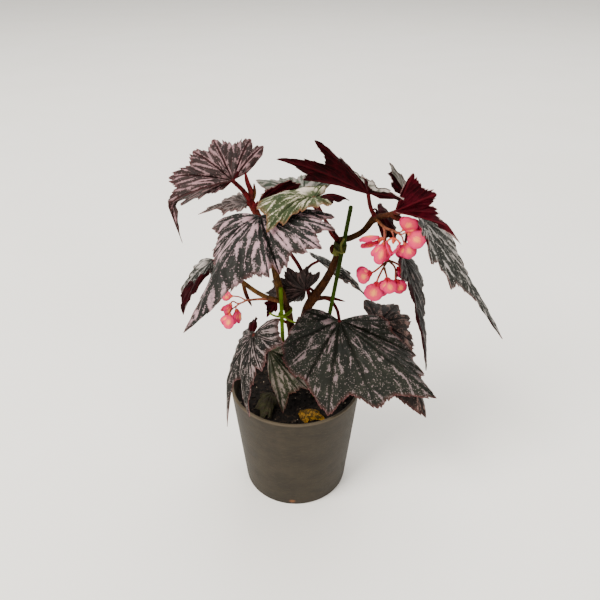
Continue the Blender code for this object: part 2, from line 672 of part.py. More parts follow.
def main():
    clear_scene()
    looks = {name: material(name, *row) for name, row in LOOKS.items()}
    stem = looks["cane_brown"]

    make_pot(looks["pot_taupe"])
    holes = [tube(name + "_hole", root_points(name, 0.6), CANE_RADIUS + GAP + 0.3, stem,
                  sides=CANE_SIDES) for name in CANES]
    for name, row in STAKES.items():
        head = stake_at(name, SOIL_TOP + 12)
        holes.append(rod(name + "_hole", row["foot"], head, STAKE_RADIUS + GAP, stem, 0.5))
    make_soil(looks["soil"], holes)

    for name, row in STAKES.items():
        rod(name, row["foot"], row["head"], STAKE_RADIUS, looks[row["look"]])

    buds = {
        "cane_left": [
            pointed("furled_leaf", ((-34, 3, 288), (-34, 1, 298), (-36, -1, 306), (-37, -2, 314)),
                    2.3, stem),
            pointed("stipule", ((-33, 3, 288), (-31, 2, 296), (-31, 1, 304)), 1.6, stem),
        ],
        "cane_right": [
            pointed("dead_stub", ((17, 7, 198), (30, 7.5, 197), (44, 8, 193)), 1.7, stem),
            pointed("bud", ((34, 5, 238), (30, 5, 240), (28, 5, 244)), 2.3, stem),
            pointed("upper_stipule", ((76, -1, 279), (80, -5, 277), (85, -6, 277)), 2.4, stem),
        ],
    }
    for name in CANES:
        stalks = [tube(f"{name}_spray_{i}", way, STALK_RADIUS * 1.2, stem, sides=STALK_SIDES,
                       steps=2) for i, way in enumerate(SPRAYS[name])]
        stalks += [stalk(bloom, row, stem) for bloom, row in BLOOMS.items()
                   if row["cane"] == name]
        make_cane(name, stem, buds[name] + stalks)

    tie = looks["tie_green"]
    for name, row in TIES.items():
        stake = stake_at(row["stake"], row["height"])
        posts = ((*stake, STAKE_RADIUS), (*row["cane"], row["cane_radius"]))
        ends = [tube(f"{name}_end_{i}", way, TIE_WIRE, tie, sides=STALK_SIDES)
                for i, way in enumerate(row["ends"])]
        belt(name, posts, TIE_WIRE, row["tall"], tie, ends)

    for name, row in LEAVES.items():
        make_leaf(name, row, looks[LEAF_LOOKS.get(name, "leaf_dark")])
    for name, row in BLOOMS.items():
        make_bloom(name, row, looks["bloom_pink"])


main()
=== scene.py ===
import json
import math
import random

import bmesh
import bpy
from mathutils import Matrix, Vector, noise

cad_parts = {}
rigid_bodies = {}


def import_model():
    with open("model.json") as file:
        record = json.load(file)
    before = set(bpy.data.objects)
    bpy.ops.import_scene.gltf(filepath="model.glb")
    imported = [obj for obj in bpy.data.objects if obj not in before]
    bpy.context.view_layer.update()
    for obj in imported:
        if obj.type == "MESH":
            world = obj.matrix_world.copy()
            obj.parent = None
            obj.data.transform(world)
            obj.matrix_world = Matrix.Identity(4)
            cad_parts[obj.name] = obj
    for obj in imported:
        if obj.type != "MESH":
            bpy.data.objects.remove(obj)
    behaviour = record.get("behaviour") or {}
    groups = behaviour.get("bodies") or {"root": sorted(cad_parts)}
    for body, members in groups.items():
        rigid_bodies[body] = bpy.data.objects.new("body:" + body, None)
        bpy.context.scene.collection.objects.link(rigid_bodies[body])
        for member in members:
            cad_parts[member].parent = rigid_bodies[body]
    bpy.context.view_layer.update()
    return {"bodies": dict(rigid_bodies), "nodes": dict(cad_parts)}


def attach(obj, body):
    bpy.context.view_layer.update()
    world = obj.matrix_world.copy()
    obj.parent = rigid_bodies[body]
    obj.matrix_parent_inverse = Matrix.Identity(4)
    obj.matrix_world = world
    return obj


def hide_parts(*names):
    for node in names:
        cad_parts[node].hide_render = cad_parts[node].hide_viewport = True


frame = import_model()

# Lengths in the tables below are in mm, x to the right, y away from the viewer, z up from the pot's base
mm = 0.001
body = next(iter(frame["bodies"]))
print("frame loaded:", len(frame["nodes"]), "nodes")


# Shader graphs

def mathsNode(operation, swapped=False):
    # a method of Wire that adds this Math node
    def method(self, *others):
        values = (*others, self) if swapped else (self, *others)
        return self.graph.add("ShaderNodeMath", {"operation": operation}, dict(enumerate(values)))
    return method


class Wire:
    # one output of a node; Python's operators on it add the Math nodes
    def __init__(self, graph, socket):
        self.graph = graph
        self.socket = socket

    __add__ = __radd__ = mathsNode("ADD")
    __sub__ = mathsNode("SUBTRACT")
    __rsub__ = mathsNode("SUBTRACT", swapped=True)
    __mul__ = __rmul__ = mathsNode("MULTIPLY")
    __truediv__ = mathsNode("DIVIDE")
    __rtruediv__ = mathsNode("DIVIDE", swapped=True)
    __pow__ = mathsNode("POWER")
    __abs__ = mathsNode("ABSOLUTE")
    fraction = mathsNode("FRACT")
    least = mathsNode("MINIMUM")
    most = mathsNode("MAXIMUM")

    def rise(self, low, high, start=0.0, end=1.0):
        # goes smoothly from start at low to end at high
        return self.graph.add(
            "ShaderNodeMapRange", {"interpolation_type": "SMOOTHSTEP"},
            {"Value": self, "From Min": low, "From Max": high, "To Min": start, "To Max": end})


class Graph:
    def __init__(self, name):
        self.look = bpy.data.materials.new(name)
        self.look.use_nodes = True
        self.nodes = self.look.node_tree.nodes
        self.links = self.look.node_tree.links
        self.nodes.clear()
        self.place = self.add("ShaderNodeTexCoord", output="Object")

    def add(self, kind, settings=None, values=None, output=0):
        node = self.nodes.new(kind)
        for key, value in (settings or {}).items():
            setattr(node, key, value)
        for key, value in (values or {}).items():
            if isinstance(value, Wire):
                self.links.new(value.socket, node.inputs[key])
            else:
                node.inputs[key].default_value = value
        return Wire(self, node.outputs[output]) if node.outputs else None

    def attribute(self, name, output="Fac"):
        return self.add("ShaderNodeAttribute", {"attribute_name": name}, output=output)

    def vector(self, x, y, z=0.0):
        return self.add("ShaderNodeCombineXYZ", values={0: x, 1: y, 2: z})

    def scaled(self, scale, lean=0.0):
        # the place, scaled along each axis and then turned about y, in degrees
        return self.add("ShaderNodeMapping", values={
            "Vector": self.place, "Rotation": (0.0, math.radians(lean), 0.0), "Scale": scale})

    def noise(self, size, detail=2.0, rough=0.5, at=None):
        # size is that of one blotch, in mm
        return self.add("ShaderNodeTexNoise", values={
            "Vector": at or self.place, "Scale": 1 / (size * mm), "Detail": detail, "Roughness": rough})

    def cells(self, size, output="Distance", at=None):
        return self.add("ShaderNodeTexVoronoi", values={
            "Vector": at or self.place, "Scale": 1 / (size * mm)}, output=output)

    def chance(self, size):
        # a random number for each cell
        return self.add("ShaderNodeSeparateColor", values={0: self.cells(size, "Color")})

    def paint(self, colour, *coats, blend="MIX"):
        # lays one coat after the other over the colour, each by its share
        for share, coat in coats:
            colour = self.add(
                "ShaderNodeMix", {"data_type": "RGBA", "blend_type": blend},
                {0: share, 6: colour, 7: coat}, output=2)
        return colour

    def finish(self, colour, roughness, height=None, depth=0.3, shine=0.5, **fixed):
        # depth is that of the relief, in mm
        values = {"Base Color": colour, "Roughness": roughness, "Specular IOR Level": shine}
        if height is not None:
            values["Normal"] = self.add("ShaderNodeBump", values={
                "Height": height, "Distance": depth * mm, "Strength": 1.0})
        values.update({name.replace("_", " "): value for name, value in fixed.items()})
        shader = self.add("ShaderNodeBsdfPrincipled", values=values)
        self.add("ShaderNodeOutputMaterial", values={"Surface": shader})
        return self.look


# The size at which a noise reads a vector in the vector's own units
ownUnits = 1 / mm


def tint(red, green, blue):
    # a screen colour, 0 to 255, as the linear value that shaders take
    linear = [((c / 255 + 0.055) / 1.055) ** 2.4 if c > 10 else c / 3295 for c in (red, green, blue)]
    return (*linear, 1.0)


# Making pieces

def fillMesh(mesh, bm, sharp):
    # edges sharper than this many degrees stay hard
    bm.to_mesh(mesh)
    bm.free()
    mesh.shade_smooth()
    mesh.set_sharp_from_angle(angle=math.radians(sharp))


def newPiece(name, bm, looks, sharp=45):
    mesh = bpy.data.meshes.new(name)
    fillMesh(mesh, bm, sharp)
    for look in looks:
        mesh.materials.append(look)
    piece = bpy.data.objects.new(name, mesh)
    bpy.context.scene.collection.objects.link(piece)
    return piece


def standFor(piece, node):
    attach(piece, body)
    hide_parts(node)


def pieceName(node):
    first, *rest = node.split("_")
    return first + "".join(word.title() for word in rest)


def faceTowards(bm, faces, way):
    # turns an open sheet's faces so that most of them look that way
    bmesh.ops.recalc_face_normals(bm, faces=faces)
    if sum((f.normal * f.calc_area() for f in faces), Vector((0, 0, 0))).dot(way) < 0:
        bmesh.ops.reverse_faces(bm, faces=faces)


# A span's length over that of the automatic handles on it
spanToHandle = 2.5614


def smoothPath(points, steps):
    # the curve that Blender's automatic handles draw through the points
    knots = [Vector(p) for p in points]
    spans = [(b - a).normalized() for a, b in zip(knots, knots[1:])]
    ways = [(a + b).normalized() for a, b in zip([Vector(), *spans], [*spans, Vector()])]
    places = [knots[0]]
    for a, b, before, after in zip(knots, knots[1:], ways, ways[1:]):
        pull = (b - a).length / spanToHandle
        c, d = a + before * pull, b - after * pull
        for step in range(1, steps + 1):
            t = step / steps
            s = 1 - t
            places.append(a * s ** 3 + c * 3 * s * s * t + d * 3 * s * t * t + b * t ** 3)
    return places


def spread(values, steps):
    # evenly between the values given at the knots
    fine = [values[0]]
    for a, b in zip(values, values[1:]):
        fine += [a + (b - a) * step / steps for step in range(1, steps + 1)]
    return fine


def stemMesh():
    # an empty mesh whose points carry a colour
    bm = bmesh.new()
    bm.verts.layers.float_color.new("tint")
    return bm


def growTube(bm, places, radii, tints, sides=14, flat=1.0, flatWay=None):
    # a closed round stem that is drawn out ring by ring, with a colour that changes along it
    paint = bm.verts.layers.float_color["tint"]
    made = bmesh.ops.create_circle(bm, segments=sides, radius=1.0)["verts"]
    edges = {e for v in made for e in v.link_edges}
    bmesh.ops.edgeloop_fill(bm, edges=list(edges))
    before = Matrix.Identity(4)
    side = None
    last = len(places) - 1
    for i, (place, radius) in enumerate(zip(places, radii)):
        way = (places[min(i + 1, last)] - places[max(i - 1, 0)]).normalized()
        if side is None:
            side = Vector(flatWay) if flatWay else way.orthogonal()
        side = (side - way * side.dot(way)).normalized()
        ahead = Matrix((side, way.cross(side), way)).transposed().to_4x4()
        size = Matrix.Diagonal((radius * flat * mm, radius * mm, mm, 1))
        now = Matrix.Translation(place * mm) @ ahead @ size
        if i:
            grown = bmesh.ops.extrude_edge_only(bm, edges=list(edges))["geom"]
            made = [g for g in grown if isinstance(g, bmesh.types.BMVert)]
            fresh = set(made)
            edges = {g for g in grown if isinstance(g, bmesh.types.BMEdge) and set(g.verts) <= fresh}
        bmesh.ops.transform(bm, matrix=now @ before.inverted(), verts=made)
        before = now
        share = i / last * (len(tints) - 1)
        k = min(int(share), len(tints) - 2)
        shade = Vector(tints[k]).lerp(Vector(tints[k + 1]), share - k)
        for v in made:
            v[paint] = shade
    bmesh.ops.edgeloop_fill(bm, edges=list(edges))


def finishStems(bm, node, ending, look):
    bmesh.ops.recalc_face_normals(bm, faces=bm.faces)
    standFor(newPiece(pieceName(node) + ending, bm, [look], 60), node)


def turned(profile, sides):
    # a profile of (radius, height) points turned round the z axis
    bm = bmesh.new()
    points = [bm.verts.new((r * mm, 0, z * mm)) for r, z in profile]
    edges = [bm.edges.new(pair) for pair in zip(points, points[1:])]
    bmesh.ops.spin(
        bm, geom=points + edges, cent=(0, 0, 0), axis=(0, 0, 1), angle=math.tau, steps=sides,
        use_merge=True, use_duplicate=False)
    bmesh.ops.remove_doubles(bm, verts=bm.verts, dist=1e-6)
    bmesh.ops.recalc_face_normals(bm, faces=bm.faces)
    return bm


def arc(middle, radius, start, end, steps):
    # points on an arc of a profile, angles in degrees
    angles = [math.radians(start + (end - start) * i / steps) for i in range(steps + 1)]
    return [(middle[0] + radius * math.cos(a), middle[1] + radius * math.sin(a)) for a in angles]


# Pot

pot = dict(height=111.0, rim=60.0, base=49.5, wall=2.8, floor=3.5, sides=144,
           lipRound=1.0, footRound=1.2, cornerRound=2.5, mouldMark=6.3, groove=0.3, recess=0.5, ring=37.0,
           body=tint(44, 37, 26), streak=tint(34, 28, 19), worn=tint(58, 49, 36), lip=tint(77, 67, 52),
           stain=tint(140, 84, 44))


def potRadius(z):
    return pot["base"] + (pot["rim"] - pot["base"]) * z / pot["height"]


def potLook():
    graph = Graph("potTaupe")
    clouds = graph.noise(20, 4, 0.6, graph.scaled((1, 1, 1.6)))
    streaks = graph.noise(1.5, 4, 0.65, graph.scaled((0.25, 0.25, 1.0), lean=24))
    grain = graph.noise(0.6, 2, 0.7)
    flecks = graph.cells(7.0).rise(0.04, 0.07, 1, 0)
    parts = [graph.add("ShaderNodeSeparateXYZ", values={0: graph.place}, output=word) for word in "XYZ"]
    x, y, z = (part / mm for part in parts)
    # a lighter band round the top of the wall is a painted highlight where the lip catches the light
    lip = z.rise(pot["height"] - 2.4, pot["height"] - 0.6)
    # a rusty spot at the front of the foot
    spot = ((x + 3) ** 2 + (z - 5) ** 2 * 1.8 + (y + 50) ** 2) ** 0.5
    stain = (spot + grain * 5).rise(3.5, 6.5, 1, 0)
    colour = graph.paint(
        pot["streak"], ((clouds + (streaks - 0.5) * 0.5).rise(0.3, 0.7), pot["body"]),
        (streaks.rise(0.52, 0.78) * 0.6, pot["worn"]), (streaks.rise(0.44, 0.3) * 0.35, pot["streak"]),
        (flecks * 0.5, pot["streak"]), (stain * 0.5, pot["stain"]), (lip * 0.8, pot["lip"]))
    relief = streaks * 0.4 + clouds * 0.6 + grain * 0.25
    return graph.finish(colour, 0.55 + streaks * 0.16, relief, 0.3, shine=0.22)


def makePot():
    rim, edge, wall, lip = (pot[word] for word in ("rim", "height", "wall", "lipRound"))
    foot, corner, mark, groove = (pot[word] for word in ("footRound", "cornerRound", "mouldMark", "groove"))
    recess, ring = pot["recess"], pot["ring"]
    low = pot["floor"] + corner
    under = [(0, recess), (mark - groove, recess), (mark, recess - groove), (mark + groove, recess)]
    under += [(30, recess), (ring - 1, recess), (ring, 0.0)]
    under += arc((pot["base"] - foot, foot), foot, -90, 0, 4)
    outer = [(potRadius(z), z) for z in range(3, 108, 3)]
    brim = arc((rim - lip, edge - lip), lip, 0, 90, 5) + arc((rim - wall + lip, edge - lip), lip, 90, 180, 5)
    inner = [(potRadius(z) - wall, z) for z in range(105, 8, -6)]
    inner += arc((potRadius(low) - wall - corner, low), corner, 0, -90, 4)
    bm = turned(under + outer + brim + inner + [(0, pot["floor"])], pot["sides"])
    standFor(newPiece("potShell", bm, [potLook()], 50), "pot")


# Soil

# lumps are (how fine, how high in mm)
soil = dict(top=95.0, lumps=((90, 1.6), (260, 0.9), (700, 0.5)), gap=0.5, lift=0.3, fade=3.0, rings=44,
            sides=120, deep=tint(9, 6, 4), damp=tint(22, 16, 12), dry=tint(48, 36, 26),
            grit=tint(170, 158, 138))
# Where a value is a pair, each crumb draws its own between the two. A few are larger still.
crumb = dict(count=420, seed=7, margin=2.5, size=(0.5, 1.5), few=0.12, larger=1.4, longer=(0.8, 1.6),
             flatter=(0.5, 0.9), tilt=(-0.5, 0.5), uneven=(0.75, 1.2))


def soilHeight(x, y):
    spot = Vector((x, y, soil["top"])) * mm
    return sum((high * noise.noise(spot * fine) for fine, high in soil["lumps"]), soil["top"])


def soilLook():
    graph = Graph("soilDamp")
    lumps = graph.noise(3.0, 4, 0.65)
    paleness = graph.chance(2.2)
    grains = graph.cells(2.2).rise(0.14, 0.24, 1, 0) * paleness.rise(0.93, 0.94)
    colour = graph.paint(
        soil["deep"], (lumps.rise(0.35, 0.7), soil["damp"]), (paleness.rise(0.8, 0.92) * 0.5, soil["dry"]),
        (grains, soil["grit"]))
    return graph.finish(colour, 0.85, lumps, 0.9, shine=0.15)


def makeSoil():
    top, foot = (potRadius(z) - pot["wall"] - soil["gap"] for z in (soil["top"], pot["floor"]))
    base, rings = pot["floor"] + soil["lift"], soil["rings"]
    profile = [(0, base), (foot * 0.5, base), (foot, base), (top, soil["top"])]
    profile += [(top * (1 - i / rings), soil["top"]) for i in range(1, rings + 1)]
    bm = turned(profile, soil["sides"])
    for v in bm.verts:
        if v.co.z > (soil["top"] - 1) * mm:
            # the lumps fade out towards the pot's wall
            x, y = v.co.x / mm, v.co.y / mm
            near = min(1.0, (top - math.hypot(x, y)) / soil["fade"])
            v.co.z = (soil["top"] + (soilHeight(x, y) - soil["top"]) * near) * mm
    draw = random.Random(crumb["seed"])
    for i in range(crumb["count"]):
        reach, angle = (top - crumb["margin"]) * math.sqrt(draw.random()), draw.uniform(0, math.tau)
        x, y = reach * math.cos(angle), reach * math.sin(angle)
        size = draw.uniform(*crumb["size"]) * (crumb["larger"] if draw.random() < crumb["few"] else 1)
        made = bmesh.ops.create_icosphere(bm, subdivisions=1, radius=1.0)["verts"]
        longer, flatter = draw.uniform(*crumb["longer"]), draw.uniform(*crumb["flatter"])
        stretch = Matrix.Diagonal((size * longer, size, size * flatter, 1))
        spin = Matrix.Rotation(draw.uniform(0, math.tau), 4, "Z")
        spin = spin @ Matrix.Rotation(draw.uniform(*crumb["tilt"]), 4, "X")
        for v in made:
            v.co *= draw.uniform(*crumb["uneven"])
        place = Matrix.Translation(Vector((x, y, soilHeight(x, y) + size * 0.25)) * mm)
        bmesh.ops.transform(bm, matrix=place @ spin @ stretch @ Matrix.Scale(mm, 4), verts=made)
    bmesh.ops.recalc_face_normals(bm, faces=bm.faces)
    standFor(newPiece("soilFill", bm, [soilLook()], 30), "soil")


# Leaves

lookColours = ("ground", "patch", "stripe", "silver", "rim", "vein", "joint")
lookNumbers = ("spacing", "mainBand", "sideBand", "hug", "pull", "stripes", "specks", "rough", "heart")


def lookRow(*values):
    # names a row's columns: seven screen colours, then spacing to hug in mm, and five amounts
    colours = {word: tint(*value) for word, value in zip(lookColours, values)}
    return colours | dict(zip(lookNumbers, values[len(lookColours):]))


# Columns as lookColours and lookNumbers name them
leafLooks = dict(
    striped=lookRow(
        (20, 19, 16), (35, 35, 30), (171, 133, 140), (135, 115, 118), (113, 72, 72), (14, 15, 12),
        (54, 16, 18), 19.0, 1.8, 2.5, 2.4, 1.3, 1.0, 0.95, 1.9, 0.5),
    fine=lookRow(
        (18, 17, 15), (30, 29, 24), (148, 126, 126), (129, 117, 115), (119, 76, 74), (14, 13, 10),
        (86, 31, 22), 10.5, 0.9, 1.75, 1.1, 1.35, 0.95, 0.8, 1.5, 0.3),
    bronze=lookRow(
        (28, 15, 13), (42, 29, 26), (148, 108, 113), (116, 91, 92), (112, 68, 70), (52, 9, 12),
        (76, 11, 16), 13.0, 1.0, 1.95, 1.5, 1.4, 0.95, 0.7, 1.8, 0.4),
    dusky=lookRow(
        (23, 14, 12), (34, 22, 20), (68, 47, 46), (78, 60, 58), (56, 31, 30), (13, 6, 6), (43, 9, 12), 9.0,
        1.2, 1.35, 1.5, 0.9, 0.8, 0.2, 1.7, 0.3),
    speckled=lookRow(
        (17, 19, 14), (30, 32, 24), (127, 104, 109), (112, 100, 99), (115, 61, 61), (10, 12, 8),
        (94, 18, 22), 22.0, 2.5, 3.8, 2.6, 1.0, 0.95, 1.0, 1.9, 0.42),
    ashen=lookRow(
        (24, 26, 21), (41, 42, 37), (160, 151, 147), (139, 134, 129), (110, 79, 76), (15, 17, 14),
        (72, 25, 25), 17.0, 1.1, 2.5, 1.3, 1.3, 0.95, 0.9, 1.4, 0.15),
    rosy=lookRow(
        (73, 61, 56), (97, 84, 78), (171, 146, 142), (155, 142, 137), (151, 110, 108), (47, 38, 34),
        (99, 36, 36), 9.0, 0.8, 1.1, 1.2, 1.4, 0.95, 0.4, 1.5, 0.4),
    silver=lookRow(
        (59, 67, 57), (83, 89, 77), (148, 137, 131), (132, 130, 120), (148, 115, 110), (32, 38, 31),
        (83, 27, 31), 15.0, 1.1, 1.8, 1.8, 1.3, 0.9, 0.6, 1.8, 0.6),
    # a lighter copy of silver, painted light that keeps top_red and right_sprig pale where they turn away
    # from the lamps
    bright=lookRow(
        (94, 99, 91), (133, 133, 124), (188, 182, 176), (180, 174, 167), (171, 144, 139), (52, 56, 49),
        (83, 27, 31), 12.0, 0.7, 0.95, 1.5, 1.2, 0.9, 0.4, 1.5, 0.6),
    pale=lookRow(
        (43, 53, 28), (70, 78, 48), (206, 190, 174), (152, 147, 120), (135, 83, 59), (31, 43, 20),
        (106, 63, 47), 18.0, 1.6, 2.65, 2.3, 1.25, 0.9, 0.6, 1.8, 0.45),
    inner=lookRow(
        (48, 53, 37), (68, 69, 49), (149, 130, 124), (135, 124, 115), (128, 68, 65), (22, 24, 14),
        (81, 22, 22), 14.0, 1.5, 1.9, 2.9, 1.35, 0.95, 0.8, 1.9, 0.6),
    faded=lookRow(
        (18, 11, 7), (26, 17, 12), (124, 95, 89), (86, 67, 60), (101, 52, 48), (18, 11, 8), (76, 18, 20),
        18.0, 1.8, 2.95, 2.2, 1.05, 0.85, 0.8, 1.8, 0.4),
    charred=lookRow(
        (9, 4, 4), (15, 10, 9), (118, 102, 99), (90, 78, 76), (72, 31, 31), (11, 6, 6), (54, 11, 14), 19.0,
        1.6, 3.4, 1.3, 1.2, 0.9, 0.45, 1.3, 0.1),
)
# The undersides; the second is a lighter copy of the first, painted light for the underside of red_fan
wines = dict(
    wine=dict(deep=tint(18, 0, 1), bright=tint(40, 0, 5), vein=tint(68, 9, 16)),
    claret=dict(deep=tint(33, 1, 6), bright=tint(60, 4, 15), vein=tint(90, 19, 28)),
)
# Each dead leaf's material, its light and dark colours, its spots and how rare they are
oldLooks = dict(
    fallen=("leafFallenYellow", tint(160, 116, 26), tint(104, 72, 14), tint(26, 25, 6), 0.46),
    dry=("leafDryOlive", tint(44, 44, 20), tint(30, 24, 13), tint(60, 42, 32), 0.58),
)
# What a blade carries for its pattern: how far a point is from its main vein, its place between side veins,
# and how far it is from the junction and from the edge
leafLayers = ("side", "rank", "along", "edge")


def leafTop(name, row):
    graph = Graph(name + "Top")
    side, rank, along, edge = (graph.attribute(word) for word in leafLayers)
    ragged = graph.noise(1.5, 3, 0.75) - 0.5
    clouds = graph.noise(12)
    fine = graph.noise(0.8, 2, 0.6)
    # each stripe swells, thins out and breaks off in its own way along its length
    single = rank - rank.fraction()
    own = graph.noise(ownUnits, at=graph.vector(single * 3.7, along * 0.11, clouds)) - 0.5
    drawn = graph.vector(rank * (row["spacing"] * 0.24), along * 0.07, clouds * 2)
    streaks = graph.noise(ownUnits, 2, 0.55, drawn) - 0.5
    branch = (0.5 - abs(rank.fraction() - 0.5)) * (row["spacing"] * 0.42)
    mainBand = (along.rise(0, 30, 0.5, 1) * edge.rise(0, 22, 0.45, 1)) * row["mainBand"]
    heart = side.rise(2.5, 6) * along.rise(26, 52, 1, 0) * row["heart"]
    # a light band follows each main vein, and others lie between the side veins
    beside = side.rise(row["hug"], row["hug"] * 1.5, row["pull"], 0)
    between = (side / mainBand).least((branch / row["sideBand"] + heart).most(beside))
    worn = between + (ragged + streaks * 0.85) * row["rough"] + own * 2.4
    worn = worn + (clouds - 0.5) * 1.6 + (fine - 0.5) * 0.8 - 0.1
    stripe = worn.rise(1.0, 1.25) * edge.rise(0.6, 4, 0.3, 1) * along.rise(3, 11) * row["stripes"]

    # specks are denser towards the edge, and some of the cells have none
    thick = (clouds + edge.rise(2, 25, 0.2, 0)).rise(0.3, 0.75, 0.25, 0.85) * row["specks"]
    speck = graph.cells(1.45).rise(0.2, 0.36, 1, 0) * (graph.chance(1.45) - (1 - thick)).rise(0, 0.05)
    speck = speck * (side / mainBand + fine * 0.4).rise(0.3, 0.6)

    veins = side.rise(0.15, 0.6, 1, 0).most(branch.rise(0.05, 0.35, 0.7, 0))
    light = graph.paint(row["silver"], ((worn + streaks).rise(1.1, 1.9), row["stripe"]))
    border = (edge + fine * 0.8).rise(0.5, 1.4, 0.65, 0).most((edge + ragged * 4).rise(0.5, 5, 0.2, 0))
    colour = graph.paint(
        row["ground"], ((clouds + fine * 0.4).rise(0.45, 0.9), row["patch"]),
        (stripe * fine.rise(0.2, 0.5, 0.65, 1), light), (speck * 0.85, row["silver"]),
        (veins * 0.7, row["vein"]), (border, row["rim"]), (along.rise(0.4, 2.4, 0.9, 0), row["joint"]))
    quilt = between.rise(0, 1.4) * 0.8 + stripe * 0.2 + fine * 0.3
    return graph.finish(colour, 0.52 - stripe * 0.06 + fine * 0.08, quilt, 0.6, shine=0.16)


def leafUnder(name, row):
    graph = Graph(name + "Under")
    side, rank = graph.attribute("side"), graph.attribute("rank")
    clouds = graph.noise(9, 3, 0.6)
    fine = graph.noise(0.8, 2, 0.6)
    branch = (0.5 - abs(rank.fraction() - 0.5)) * 5.0
    ribs = side.rise(0.4, 1.1, 1, 0).most(branch.rise(0.2, 0.6, 0.6, 0))
    colour = graph.paint(row["deep"], (clouds.rise(0.35, 0.7), row["bright"]), (ribs * 0.35, row["vein"]))
    return graph.finish(colour, 0.6 + fine * 0.12, ribs + fine * 0.2, 0.4, shine=0.04)


def oldLeaf(name, light, dark, spots, rare):
    graph = Graph(name)
    clouds = graph.noise(5, 4, 0.65)
    rot = graph.noise(2.0, 4, 0.7)
    colour = graph.paint(
        light, (clouds.rise(0.35, 0.65), dark), (rot.rise(rare, rare + 0.06) * 0.9, spots),
        (graph.attribute("side").rise(0.2, 0.8, 0.5, 0), dark))
    return graph.finish(colour, 0.6, rot + clouds, 0.8, shine=0.15)


